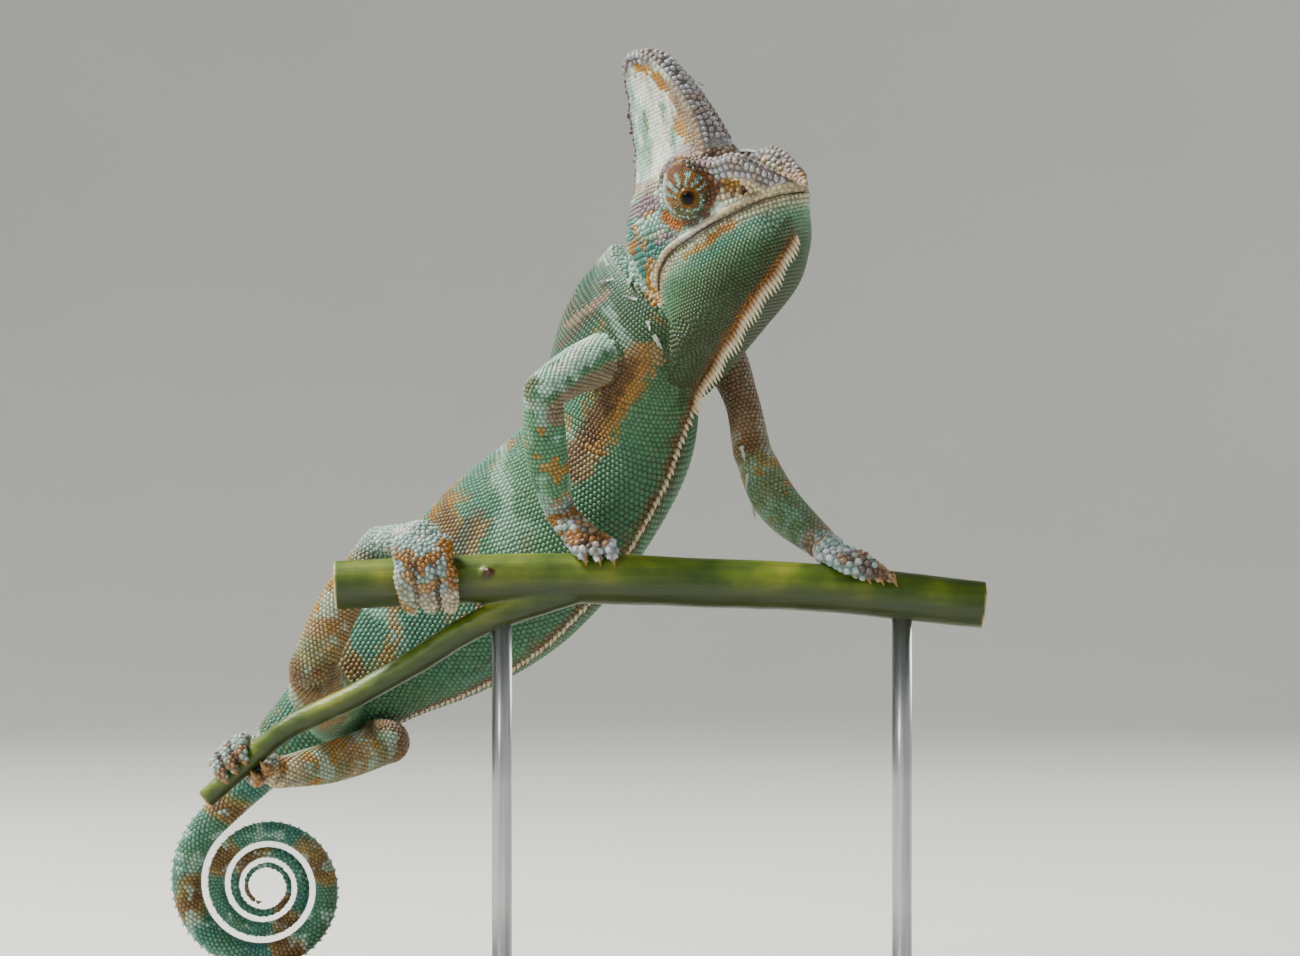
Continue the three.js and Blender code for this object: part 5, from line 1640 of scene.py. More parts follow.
def relief_of(points, label):
    """How tall scales stand against their size, and how dark the painted shade of the skin between them is.
    """
    a, b, c = in_head(points).T
    above = b - mouth_height(a)
    head = label == HEAD
    hard = hard_places(a, b, c, 15)
    tall, dark = (np.where(label >= FIRST_LIMB, limb, np.where(label > HEAD, lids, rest))
                  for limb, lids, rest in ((0.34, 0.36, 0.28), (0.55, 0.4, 0.46)))
    for here, height, shade in (
            (above >= 0, 0.3, 0.5), ((b > 20 + 0.1 * a) & ~hard, 0.06, 0.9), (hard, 0.38, 0.45),
            ((above > 0) & (above < 2.8), 0.14, 0.72),
            (line_gap(a, b, [(8.6, 2.8), (12, 4.6), (16.4, 7)]) < 2.2, 0.05, 0.92),
            ((np.abs(c) < 4.6) & (b < 21) & (a > 19) & (above > 3), 0.18, 0.7)):
        tall, dark = np.where(head & here, height, tall), np.where(head & here, shade, dark)
    return tall, dark * props().gap_shade


COATS = {
    "scales_head_right": lambda p, label: (label == HEAD) & (in_head(p)[:, 2] < 0),
    "scales_head_left": lambda p, label: (label == HEAD) & (in_head(p)[:, 2] >= 0),
    "scales_lids": lambda p, label: (label == TURRET_RIGHT) | (label == TURRET_LEFT),
    "scales_chest": lambda p, label: (label == TRUNK) & (trunk_place(p)[0] < 3.2),
    "scales_belly": lambda p, label: (label == TRUNK) & (np.abs(trunk_place(p)[0] - 4.45) <= 1.25),
    "scales_loin": lambda p, label: (label == TRUNK) & (trunk_place(p)[0] > 5.7),
    "scales_tail": lambda p, label: label == TAIL,
}
COATS.update({
    f"scales_{name}": lambda p, label, own=number: label == own
    for number, name in enumerate(LIMBS, FIRST_LIMB)})


# ------------------------------------------------------------------ spines, the mouth's crease and claws


SPINE_NODES = {
    "entry": "NodeGroupInput", "cone": "GeometryNodeMeshCone", "place": "GeometryNodeInputPosition",
    "apart": "ShaderNodeSeparateXYZ", "square": "ShaderNodeMath", "shift": "ShaderNodeMath",
    "offset": "ShaderNodeCombineXYZ", "bent": "GeometryNodeSetPosition",
    "lie": "GeometryNodeInputNamedAttribute", "size": "GeometryNodeInputNamedAttribute",
    "turn": "FunctionNodeEulerToRotation", "stand": "GeometryNodeInstanceOnPoints",
    "real": "GeometryNodeRealizeInstances", "painted": "GeometryNodeSetMaterial", "exit": "NodeGroupOutput",
}
SPINE_LINKS = (
    ("entry", "Sides", "cone", "Vertices"), ("entry", "Rings", "cone", "Side Segments"),
    ("place", 0, "apart", 0), ("apart", "Z", "square", 0), ("apart", "Z", "square", 1),
    ("square", 0, "shift", 0), ("entry", "Lean", "shift", 1), ("shift", 0, "offset", "X"),
    ("cone", "Mesh", "bent", "Geometry"), ("offset", 0, "bent", "Offset"),
    ("lie", "Attribute", "turn", 0), ("turn", 0, "stand", "Rotation"),
    ("size", "Attribute", "stand", "Scale"),
    ("entry", "Geometry", "stand", "Points"), ("bent", "Geometry", "stand", "Instance"),
    ("stand", "Instances", "real", "Geometry"), ("real", "Geometry", "painted", "Geometry"),
    ("entry", "Material", "painted", "Material"), ("painted", "Geometry", "exit", "Geometry"),
)


def spine_tree(name, lean):
    """Geometry Nodes that stand a leaning cone on each point of a mesh, then paint it."""
    tree = bpy.data.node_groups.new(name, "GeometryNodeTree")
    tree.interface.new_socket("Geometry", in_out="INPUT", socket_type="NodeSocketGeometry")
    for label, kind, value in (("Sides", "Int", 8), ("Rings", "Int", 4), ("Lean", "Float", lean)):
        socket = tree.interface.new_socket(label, in_out="INPUT", socket_type=f"NodeSocket{kind}")
        socket.default_value = value
    tree.interface.new_socket("Material", in_out="INPUT", socket_type="NodeSocketMaterial")
    tree.interface.new_socket("Geometry", in_out="OUTPUT", socket_type="NodeSocketGeometry")
    nodes = {key: tree.nodes.new(kind) for key, kind in SPINE_NODES.items()}
    for key, value in (("Radius Top", 0.06), ("Radius Bottom", 1), ("Depth", 1)):
        nodes["cone"].inputs[key].default_value = value
    nodes["square"].operation = nodes["shift"].operation = "MULTIPLY"
    for key in ("lie", "size"):
        nodes[key].data_type = "FLOAT_VECTOR"
        nodes[key].inputs["Name"].default_value = key
    for start, output, end, entry in SPINE_LINKS:
        tree.links.new(nodes[start].outputs[output], nodes[end].inputs[entry])
    return tree


def facing_turn(out, along):
    """The turn, as Euler angles, whose Z runs along out and whose X leans along."""
    across = unit(np.cross(out, along))
    ahead = np.cross(across, out)
    return Matrix(np.stack([ahead, across, out], axis=1).tolist()).to_euler("XYZ")


def spines(name, roots, outs, alongs, lengths, widths, lean, material):
    """One piece of leaning spines, made by Geometry Nodes from their roots."""
    mesh = bpy.data.meshes.new(name)
    mesh.from_pydata([tuple(root * MM) for root in roots], [], [])
    turn = mesh.attributes.new("lie", "FLOAT_VECTOR", "POINT")
    turns = [tuple(facing_turn(out, along)) for out, along in zip(outs, alongs)]
    turn.data.foreach_set("vector", np.array(turns).ravel())
    size = mesh.attributes.new("size", "FLOAT_VECTOR", "POINT")
    size.data.foreach_set("vector", (np.stack([widths, widths, lengths], axis=1) * MM).ravel())
    obj = bpy.data.objects.new(name, mesh)
    bpy.context.scene.collection.objects.link(obj)
    tree = spine_tree(name, lean)
    modifier = obj.modifiers.new("spines", "NODES")
    modifier.node_group = tree
    sockets = {item.name: item.identifier for item in tree.interface.items_tree if item.in_out == "INPUT"}
    modifier[sockets["Material"]] = material
    result = bpy.data.meshes.new_from_object(obj.evaluated_get(bpy.context.evaluated_depsgraph_get()))
    bpy.data.objects.remove(obj)
    return piece(name, result, material)


def crest_rows():
    """Roots, directions, lengths and widths of the spines of every crest."""
    rows = {}
    surface = surface_made()
    spacing, tallest, width = THROAT_SPINES
    seen = np.insert(THROAT_CREST, 1, VIEW_SIDE, axis=1)
    hits = [surface.search.ray_cast(Vector(at), Vector((0, 1, 0))) for at in line_places(seen, spacing)]
    roots, normals = np.array([hit[0] for hit in hits]), np.array([hit[1] for hit in hits])
    share = np.linspace(0, 1, len(hits))
    length = tallest * (0.5 + 0.5 * np.sin(np.pi * (0.12 + 0.76 * share))) * (1 + 0.12 * np.sin(35 * share))
    out = unit(0.55 * normals + unit(np.array([0.42, -0.1, -0.9])))
    rows["crest_throat"] = (
        roots - 0.3 * normals, out, unit(np.gradient(roots, axis=0)), length, np.full(len(hits), width))
    for name, side, start, pitch, tall, wide in (
            ("crest_belly", 1, 1.6, 1.65, 2, 0.8), ("crest_back", -1, 0.45, 2.1, 1.9, 0.85)):
        fine = np.linspace(start, TRUNK_END, 800)
        _, tangent, belly, left = trunk_frames(fine)
        turn = belly_turn(fine) * (side > 0)
        angles = turn + (0 if side > 0 else np.pi)
        line = np.array([
            trunk_rings(np.array([s]), np.array([angle]), -0.5)[0, 0] for s, angle in zip(fine, angles)])
        belly = belly * np.cos(turn)[:, None] + left * np.sin(turn)[:, None]
        gone = travelled(line)
        i = np.minimum(np.searchsorted(gone, np.arange(0.3, gone[-1], pitch)), len(fine) - 1)
        wave = 1 + 0.18 * np.sin(np.arange(len(i)) * 2.4)
        out = unit(belly[i] * side + tangent[i] * 0.55)
        fade = 0.5 + 0.5 * np.linspace(1, 0, len(i)) ** 0.7
        rows[name] = (line[i], out, tangent[i], tall * wave * fade, wide * (0.8 + 0.2 * fade))
    fine = np.linspace(-0.2, 1.5, 600)
    line = tail_points(fine)
    way = unit(np.gradient(line, axis=0))
    out = unit(np.cross(np.array([0.0, -1, 0]), way))
    if out[10] @ (TAIL_CENTRE - line[10]) > 0:
        out = -out
    gone = travelled(line)
    spacing, tallest, width = TAIL_SPINES
    i = np.searchsorted(gone, np.arange(0.5, gone[-1], spacing))
    radius = tail_radii(fine[i])
    size = radius / TAIL_RADIUS
    rows["crest_tail"] = (
        line[i] + out[i] * (radius - 0.4)[:, None], unit(out[i] + way[i] * 0.5), way[i],
        tallest * size, width * size)
    return rows


def mouth_creases(surface):
    """The thin crease between the lips on each side."""
    shells = []
    for side in (-1, 1):
        line = line_places(mouth_line(side), CREASE_STEP)
        rises, ways = [], []
        for shift in (-CREASE_BESIDE, CREASE_BESIDE):
            beside = line + HEAD_AXES[1] * shift
            places, normals, _ = surface.onto(beside)
            rises.append(((places - beside) * normals).sum(1))
            ways.append(normals)
        rise = np.pad(np.mean(rises, axis=0), CREASE_WINDOW // 2, mode="edge")
        rise = np.convolve(rise, np.ones(CREASE_WINDOW) / CREASE_WINDOW, mode="valid")
        way = unit(np.mean(ways, axis=0))
        line = line + way * (rise + CREASE_LIFT)[:, None]
        shells.append(rope(line, MOUTH_CREASE_RADII, 0, 2 * len(line), 8))
    return shells


def claw_shells():
    """A curved, pointed claw at the end of every toe."""
    shells = []
    for name, limb in LIMBS.items():
        grip = perch_frame(limb)
        reach = 18 if "arm" in name else 28
        for toe in limb["toes"]:
            way = math.copysign(1, toe[2] - toe[1])
            for index in range(toe[0]):
                lane = toe_lane(limb, toe, index) * TOE_SPREAD[1]
                points, widths = [], []
                for t in np.linspace(0, 1, 8):
                    angle = limb["palm"] + toe[2] + way * (-8 + reach * t)
                    rise = limb["toe_radius"] * 0.72 * math.cos(t * math.pi / 2) ** 0.8
                    drift = toe[3] * (1 + 0.15 * t)
                    points.append(perch_place(grip, angle, grip[4] + CLAW_CLEAR + rise, lane + drift))
                    widths.append(CLAW_TIP + CLAW_ROOT * (1 - t) ** 0.8)
                shells.append(loft(tube_rings(points, widths, 8)))
    return shells


# ------------------------------------------------------------------ finishes


def nodes_for(name):
    """A new material with its node tree and its shader."""
    material = bpy.data.materials.new(name)
    material.use_nodes = True
    tree = material.node_tree
    return material, tree, tree.nodes["Principled BSDF"]


def set_inputs(node, **values):
    """Sets unlinked inputs that are given by name."""
    for key, value in values.items():
        node.inputs[key.replace("_", " ")].default_value = value


def object_noise(tree, scale, detail=3, stretch=(1, 1, 1)):
    """Noise on the object's own coordinates, finer for a larger scale."""
    place, mapping, noise = (
        tree.nodes.new(f"ShaderNode{kind}") for kind in ("TexCoord", "Mapping", "TexNoise"))
    set_inputs(mapping, Scale=stretch)
    set_inputs(noise, Scale=scale, Detail=detail)
    tree.links.new(place.outputs["Object"], mapping.inputs["Vector"])
    tree.links.new(mapping.outputs["Vector"], noise.inputs["Vector"])
    return noise.outputs["Fac"]


def stored(tree, name):
    """The colours that the mesh stores under a name."""
    made = tree.nodes.new("ShaderNodeAttribute")
    made.attribute_name = name
    return made.outputs["Color"]


def ramp(tree, source, *stops):
    """A colour ramp over a source value, with stops of place and colour."""
    made = tree.nodes.new("ShaderNodeValToRGB")
    elements = made.color_ramp.elements
    while len(elements) < len(stops):
        elements.new(0.5)
    for element, (place, colour) in zip(elements, stops):
        element.position = place
        element.color = (*(tone(colour) if isinstance(colour, str) else colour), 1)
    tree.links.new(source, made.inputs["Fac"])
    return made.outputs["Color"]


def mixed(tree, first, second, share=None):
    """Two colours multiplied or, where a share is given, a plain colour laid over the first."""
    made = tree.nodes.new("ShaderNodeMix")
    made.data_type = "RGBA"
    tree.links.new(first, made.inputs[6])
    if share is None:
        made.blend_type = "MULTIPLY"
        made.inputs[0].default_value = 1
        tree.links.new(second, made.inputs[7])
    else:
        tree.links.new(share, made.inputs[0])
        made.inputs[7].default_value = (*tone(second), 1)
    return made.outputs[2]


def roughen(tree, shader, source, low, high):
    """Roughness from a noise, between two values."""
    spread = tree.nodes.new("ShaderNodeMapRange")
    set_inputs(spread, To_Min=low, To_Max=high)
    tree.links.new(source, spread.inputs["Value"])
    tree.links.new(spread.outputs["Result"], shader.inputs["Roughness"])


def emboss(tree, shader, source, height):
    """Fine relief from a noise, of a height in metres."""
    made = tree.nodes.new("ShaderNodeBump")
    set_inputs(made, Strength=1, Distance=height)
    tree.links.new(source, made.inputs["Height"])
    tree.links.new(made.outputs["Normal"], shader.inputs["Normal"])


def soften(shader, weight, radius, scale):
    """Light that enters the surface and comes out beside."""
    set_inputs(shader, Subsurface_Weight=weight, Subsurface_Radius=radius, Subsurface_Scale=scale)


def animal_finish(name, low, high, height, soft=0.12):
    """Skin or scales: the stored markings, mottled, with a fine waxy surface."""
    material, tree, shader = nodes_for(name)
    mottle = object_noise(tree, 1400)
    shade = ramp(tree, mottle, (0.3, (0.8, 0.8, 0.8)), (0.7, (1.15, 1.15, 1.12)))
    tree.links.new(mixed(tree, stored(tree, "markings"), shade), shader.inputs["Base Color"])
    roughen(tree, shader, mottle, low, high)
    emboss(tree, shader, object_noise(tree, 5200, 2), height)
    soften(shader, soft, (0.9, 0.6, 0.4), 0.0012)
    return material


def horn_finish(name, code, low, high):
    """Claws, creases and shed skin: one colour, clouded, between two roughnesses."""
    material, tree, shader = nodes_for(name)
    grain = object_noise(tree, 1500)
    shade = ramp(tree, grain, (0.3, tone(code) * 0.72), (0.7, tone(code) * 1.08))
    tree.links.new(shade, shader.inputs["Base Color"])
    roughen(tree, shader, grain, low, high)
    emboss(tree, shader, grain, 0.00008)
    soften(shader, 0.2, (1, 0.7, 0.4), 0.001)
    return material


def eye_finish():
    """A wet eyeball with its stored rings, flecked."""
    material, tree, shader = nodes_for("eye_gloss")
    shade = ramp(tree, object_noise(tree, 4200), (0.35, (0.7, 0.7, 0.7)), (0.65, (1.2, 1.2, 1.2)))
    tree.links.new(mixed(tree, stored(tree, "markings"), shade), shader.inputs["Base Color"])
    set_inputs(shader, Roughness=0.25, Specular_IOR_Level=0.12, Coat_Weight=0.14, Coat_Roughness=0.03)
    return material


def bark_finish():
    """Smooth green bark with long fibres, brown specks, a painted shade on the underside, bud and pale cut
    ends.
    """
    material, tree, shader = nodes_for("green_bark")
    fibres = object_noise(tree, 420, 5, (0.08, 1, 1))
    patches = object_noise(tree, 60, 4)
    fresh = ramp(tree, patches, (0.3, "324a0c"), (0.5, "546a14"), (0.7, "8a9028"))
    fine = ramp(tree, fibres, (0.32, (0.62, 0.66, 0.6)), (0.6, (1.12, 1.12, 1.05)))
    spots = ramp(tree, object_noise(tree, 700, 2), (0.68, (0, 0, 0)), (0.74, (1, 1, 1)))
    bark = mixed(tree, mixed(tree, fresh, fine), "6b5a2c", spots)
    amounts = tree.nodes.new("ShaderNodeSeparateColor")
    tree.links.new(stored(tree, "bud_cut_ends_and_painted_shade"), amounts.inputs[0])
    # Blue of the stored colours is the painted shade of the branch's underside, red the brown bud, green the
    # pale cut ends.
    for amount, code in (("Blue", "1c2a04"), ("Red", "4a3018"), ("Green", "c9b67e")):
        bark = mixed(tree, bark, code, amounts.outputs[amount])
    tree.links.new(bark, shader.inputs["Base Color"])
    roughen(tree, shader, patches, 0.34, 0.55)
    emboss(tree, shader, fibres, 0.0004)
    return material


def board_finish():
    """Satin walnut with grain along the board."""
    material, tree, shader = nodes_for("satin_walnut")
    pores = object_noise(tree, 900, 2, (0.05, 1, 1))
    grain = object_noise(tree, 90, 6, (0.07, 1, 1))
    shade = ramp(tree, grain, (0.3, "3a2416"), (0.5, "5f3d26"), (0.7, "80573a"))
    fine = ramp(tree, pores, (0.35, (0.55, 0.55, 0.55)), (0.55, (1.05, 1.05, 1.05)))
    tree.links.new(mixed(tree, shade, fine), shader.inputs["Base Color"])
    roughen(tree, shader, pores, 0.34, 0.55)
    emboss(tree, shader, pores, 0.0002)
    return material


def steel_finish():
    """Steel brushed along the rods."""
    material, tree, shader = nodes_for("satin_steel")
    brushing = object_noise(tree, 1200, 2, (1, 1, 0.02))
    shade = ramp(tree, brushing, (0.3, (0.42, 0.43, 0.45)), (0.7, (0.66, 0.67, 0.7)))
    tree.links.new(shade, shader.inputs["Base Color"])
    set_inputs(shader, Metallic=1)
    roughen(tree, shader, brushing, 0.24, 0.42)
    emboss(tree, shader, brushing, 0.00005)
    return material


def studio_finish():
    """Pale matt paper."""
    material, tree, shader = nodes_for("studio_paper")
    shade = ramp(tree, object_noise(tree, 3, 2), (0.3, (0.76, 0.77, 0.75)), (0.7, (0.8, 0.81, 0.79)))
    tree.links.new(shade, shader.inputs["Base Color"])
    set_inputs(shader, Roughness=0.9)
    return material


# ------------------------------------------------------------------ eyes, shed skin, perch and stand


def eye_mesh(side):
    """An eyeball whose front carries the pupil and the golden ring."""
    size = props()
    out, up, across = eye_frame(side)
    centre = eye_centre(side) + out * EYE_OUT
    radius = size.eye_radius / MM
    polar = np.concatenate([np.linspace(0.02, 0.8, 40), np.linspace(0.86, np.pi - 0.02, 20)])[:, None]
    turn = full_turn(64)
    reach = radius * np.sin(polar)
    local = np.stack([
        reach * np.cos(turn), reach * np.sin(turn), radius * np.cos(polar) * np.ones(64)], axis=-1)
    points, triangles = loft(centre + local @ np.array([across, up, out]))
    mesh = mesh_of("eye", points * MM, triangles)
    offset = points - centre
    gap = np.hypot(offset @ across, offset @ up)
    front = offset @ out > 0
    pupil, ring = size.pupil_radius / MM, size.iris_radius / MM
    paint(mesh, "markings", layered(
        np.tile(tone("7a5420"), (len(points), 1)),
        (front * ease(ring + 0.3, ring - 0.3, gap), tone("33220e")),
        (front * ease(pupil + 0.2, pupil - 0.15, gap), tone("020202"))))
    return mesh


# Tatters of shed skin: root on the animal as seen from the -Y side, lie, length and width.
TATTERS = [
    ((25, 251), (1, 0, 0.1), 3.5, 0.7), ((37.5, 232.5), (0.6, 0, -1), 5, 1.6),
    ((35.4, 236), (0.4, 0, -1), 3.5, 1), ((2.6, 208), (-1, 0, 0.5), 3.4, 0.8),
    ((4.5, 204), (-0.9, 0, 0.8), 4, 0.8), ((6, 200.5), (-1, 0, 0.1), 4.4, 0.8),
    ((9, 206), (0.1, 0, -1), 4.4, 1), ((9.8, 200), (0, 0, -1), 4, 1.1),
    ((12, 195), (-1, 0, 0.3), 3.4, 0.7), ((14.5, 189.5), (0.4, 0, -1), 3, 0.9),
    ((16, 186), (0.6, 0, -1), 3.2, 1.1), ((38.5, 158), (0.5, 0, -1), 4.5, 1),
    ((40, 151), (0.2, 0, -1), 4.5, 1), ((41, 144), (0.2, 0, -1), 4, 1.1),
    ((42, 138), (0.4, 0, -1), 3.6, 0.9),
]


def tatter_shells(surface):
    """Thin, torn strips that lie on the skin at one end and curl away at the other."""
    rng = np.random.default_rng(3)
    shells = []
    for (x, z), lie, length, width in TATTERS:
        hit = surface.search.ray_cast(Vector((x, VIEW_SIDE, z)), Vector((0, 1, 0)))
        if hit[0] is None:
            continue
        root, normal = np.array(hit[0]), np.array(hit[1])
        along = np.array(lie, float)
        along = unit(along - normal * (along @ normal))
        across = np.cross(normal, along)
        steps, lanes = 12, 7
        t, w = np.meshgrid(np.linspace(0, 1, steps), np.linspace(-0.5, 0.5, lanes), indexing="ij")
        narrow = (1 - 0.7 * t ** 2) * (1 + 0.3 * rng.standard_normal((steps, 1)))
        lift = SHED_LIFT + 0.5 * t ** 2 + 0.12 * np.sin(9 * t + 5 * w + rng.random() * 6)
        place = (root + along * (length * (t + 0.2 * rng.standard_normal((1, lanes)) * t))[..., None]
                 + across * (width * w * narrow)[..., None] + normal * lift[..., None])
        under = place - normal * SHED_THICKNESS
        edge = [(0, k) for k in range(lanes)] + [(i, lanes - 1) for i in range(1, steps)]
        edge += [(steps - 1, k) for k in range(lanes - 2, -1, -1)] + [(i, 0) for i in range(steps - 2, 0, -1)]
        points = np.concatenate([place.reshape(-1, 3), under.reshape(-1, 3)])
        faces = []
        for i in range(steps - 1):
            for k in range(lanes - 1):
                q = [i * lanes + k, (i + 1) * lanes + k, (i + 1) * lanes + k + 1, i * lanes + k + 1]
                faces += [[q[0], q[1], q[2]], [q[0], q[2], q[3]]]
                q = [n + steps * lanes for n in q]
                faces += [[q[0], q[2], q[1]], [q[0], q[3], q[2]]]
        ring = [i * lanes + k for i, k in edge]
        for here, after in zip(ring, ring[1:] + ring[:1]):
            low, low_after = here + steps * lanes, after + steps * lanes
            faces += [[here, low, low_after], [here, low_after, after]]
        faces = np.array(faces)
        shells.append((points, outward(points, faces)))
    return shells


def stick_rings(path, radii, steps, sides, seed):
    """Rings of a stem with slight swellings and flats."""
    line, radius = drawn(path, steps), drawn(radii, steps)[:, None]
    way = tube_rings(line, np.ones(steps), sides) - line[:, None]
    flat = way.reshape(-1, 3) * 5 + np.repeat(line, sides, axis=0) * [0.35, 1, 0.6]
    rough = cloud(flat, 4.2, seed, 3).reshape(steps, sides)
    return line[:, None] + way * (radius * (1 - 0.012) + 0.11 * rough - 0.08)[..., None]


def branch_station(x):
    """The place along the branch that lies over x."""
    return np.interp(x, BRANCH_PATH[:, 0], np.arange(len(BRANCH_PATH)))


def bud_line():
    """The middle of the brown bud that stands out of the branch between the feet."""
    x, angle, height = BUD
    s = branch_station(x)
    radius = through(BRANCH_RADII, s)[0]
    grip = (through(BRANCH_PATH, s)[0], way_through(BRANCH_PATH, s)[0],
            np.array([0.0, 0, 1]), np.array([0.0, -1, 0]), radius)
    steps = np.linspace(0, 1, 8)
    return np.array([perch_place(grip, angle, radius - 1 + (height + 1) * t, 0.8 * t * t) for t in steps])


def perch_mesh():
    """The branch and the twig that forks from it, as one smooth stem with its bud, cut ends and a painted
    shade on its underside.
    """
    mesh = mesh_of("perch", *joined([
        loft(stick_rings(BRANCH_PATH, BRANCH_RADII, 220, 48, 51)),
        loft(stick_rings(TWIG_PATH, TWIG_RADII, 160, 36, 52)),
        loft(tube_rings(bud_line(), 1.5 * np.linspace(1.3, 0.4, 8), 18))]))
    mesh = shaped(mesh, "REMESH", mode="VOXEL", voxel_size=PERCH_DETAIL)
    triangles = triangles_of(mesh)
    move_points(mesh, smoothed(points_of(mesh), triangles, *PERCH_EASING) * MM)
    mesh = shaped(mesh, "DECIMATE", ratio=min(1, PERCH_TRIANGLES / len(triangles)))
    points = points_of(mesh) / MM
    bud = ease(2.3, 1.7, np.linalg.norm(points - bud_line()[-1], axis=1))
    cut = np.zeros(len(points))
    for path, end, before in ((BRANCH_PATH, 0, 1), (BRANCH_PATH, -1, -2), (TWIG_PATH, -1, -2)):
        way = unit(path[end] - path[before])
        near = np.linalg.norm(points - path[end], axis=1) < CUT_END_REACH
        cut = np.maximum(cut, near * ease(-0.5, -0.2, (points - path[end]) @ way))
    # Painted shade: the branch is darker where its surface faces down.
    under = 0.9 * ease(0.5, -0.5, normals_of(mesh)[:, 2])
    paint(mesh, "bud_cut_ends_and_painted_shade", np.stack([bud, cut, under], axis=1))
    return mesh


def base_mesh():
    """A rectangular board with round corners and a moulded top edge."""
    width, depth, height = BASE_SIZE
    profile = [(1.2, 0), (0.3, 0.3), (0, 1.2)] + [(inset, height - drop) for inset, drop in (
        (0, 4.5), (0.3, 3.9), (1.1, 3.4), (1.3, 2.6), (1.5, 1.3), (2.1, 0.5), (3, 0.05), (4.2, 0))]
    rings = []
    for inset, z in profile:
        ring = []
        for quadrant, (sx, sy) in enumerate(((1, 1), (-1, 1), (-1, -1), (1, -1))):
            corner = np.array([sx * (width / 2 - BASE_CORNER), sy * (depth / 2 - BASE_CORNER)])
            for turn in np.linspace(0, math.pi / 2, 12):
                angle = turn + quadrant * math.pi / 2
                place = corner + (BASE_CORNER - inset) * np.array([math.cos(angle), math.sin(angle)])
                ring.append([*place, z])
        rings.append(ring)
    return shell_mesh("base", [loft(np.array(rings, float))])


def rod_mesh(x):
    """A turned rod with a stepped collar at its foot, up into the branch."""
    top = through(BRANCH_PATH, branch_station(x))[0]
    foot = BASE_SIZE[2] + 0.05
    profile = [(radius, foot + rise) for radius, rise in (
        (7.4, 0), (8, 0.4), (8, 1.5), (7.6, 1.9), (6.6, 2.1), (6.3, 2.9), (5.6, 3.3), (3.4, 3.5), (2.8, 3.8),
        (ROD_RADIUS, 4.3), (ROD_RADIUS, 30), (ROD_RADIUS, 60))] + [(ROD_RADIUS, top[2] - 5.2)]
    rings = [[[x + r * math.cos(a), top[1] + r * math.sin(a), z] for a in full_turn(48)] for r, z in profile]
    return shell_mesh("rod", [loft(np.array(rings))])


def bowl_mesh():
    """A round floor that sweeps up into a pale wall on every side."""
    sides = 96
    profile = [(0.001, 0), (0.4, 0), (1.0, 0), (1.7, 0)]
    profile += [(1.7 + 1.1 * math.sin(a), 1.1 - 1.1 * math.cos(a)) for a in np.linspace(0.1, math.pi / 2, 14)]
    profile += [(2.8, 1.8), (2.8, 2.6)]
    points = np.array([[[r * math.cos(a), r * math.sin(a), z] for a in full_turn(sides)] for r, z in profile])
    k = np.arange(sides)
    after = (k + 1) % sides
    faces = [np.stack([row + k, row + after, row + sides + after, row + sides + k], axis=1)
             for row in range(0, (len(profile) - 1) * sides, sides)]
    return mesh_of("studio", points.reshape(-1, 3), np.concatenate(faces))


# ------------------------------------------------------------------ the add-on


def length(name, description, default):
    """A length setting, in metres."""
    return bpy.props.FloatProperty(
        name=name, description=description, default=default, min=0,
        unit="LENGTH", subtype="DISTANCE", precision=5)


def colour(name, description, code):
    """A colour setting, from six hex figures."""
    return bpy.props.FloatVectorProperty(
        name=name, description=description, default=tuple(tone(code)), size=3, min=0, max=1, subtype="COLOR")


class ChameleonSizes(bpy.types.PropertyGroup):
    """Sizes of the skin's and the eyes' parts."""

    coat_depth: length("Coat depth", "How far the scales stand above the skin", 0.00035)
    skin_detail: length("Skin detail", "Grid size of the skin's surface", 0.0006)
    flank_scale: length("Flank scales", "Distance between scales on the flanks", 0.00142)
    throat_scale: length("Throat scales", "Distance between scales on the throat", 0.00113)
    limb_scale: length("Limb scales", "Distance between scales on legs and feet", 0.0012)
    lid_scale: length("Lid granules", "Distance between granules on the eyelids", 0.00066)
    ridge_scale: length("Ridge scales", "Distance between the large scales of the brows", 0.00165)
    eye_radius: length("Eye radius", "Radius of an eyeball", 0.0031)
    pupil_radius: length("Pupil radius", "Radius of a pupil", 0.0013)
    iris_radius: length("Iris radius", "Outer radius of the dark ring", 0.0019)
    gap_shade: bpy.props.FloatProperty(
        name="Gap shade", description="Strength of the shade between scales, against the usual one",
        default=1, min=0, max=1, subtype="FACTOR")


class ChameleonColours(bpy.types.PropertyGroup):
    """Colours of the markings."""

    mint: colour("Mint", "Ground colour of the body", "558763")
    pale_mint: colour("Pale mint", "Lighter scales", "b2d6c6")
    painted_shade_green: colour("Moss", "Shaded green of the lower throat", "2c3608")
    leaf: colour("Leaf green", "Shaded green of the throat and flank", "3f6b3c")
    teal: colour("Teal", "Blue-green areas", "35766a")
    deep_teal: colour("Deep teal", "Dark green of the back", "175242")
    pale_blue: colour("Pale blue", "Beads of hands and feet", "93aeaa")
    chalk: colour("Chalk", "Whitest scales and shed skin", "e2e3d8")
    cream: colour("Cream", "Lips and spines", "cdbd98")
    gold: colour("Gold", "Yellow markings", "a67200")
    orange: colour("Orange", "Orange markings", "96600a")
    bright_orange: colour("Bright orange", "The fold below the eye", "aa6004")
    rust: colour("Rust", "Red-brown markings", "6a3c12")
    olive: colour("Olive", "Lower lids", "5c5a30")
    umber: colour("Umber", "Dark folds round the eye", "4a2c1c")
    clay: colour("Clay", "Pinkish brown of the snout and back", "8d7662")
    brown: colour("Brown", "Dark bands", "5c3d20")
    tan: colour("Tan", "Legs and armpits", "94794e")
    violet: colour("Violet", "Back of the cheek and the fold over the eye", "846a74")
    lilac: colour("Lilac", "Pale plates of the hands", "bdbccb")
    ridge_grey: colour("Ridge grey", "Large scales of the brows and casque", "a3a1a8")


COLOUR_NAMES = tuple(ChameleonColours.__annotations__)


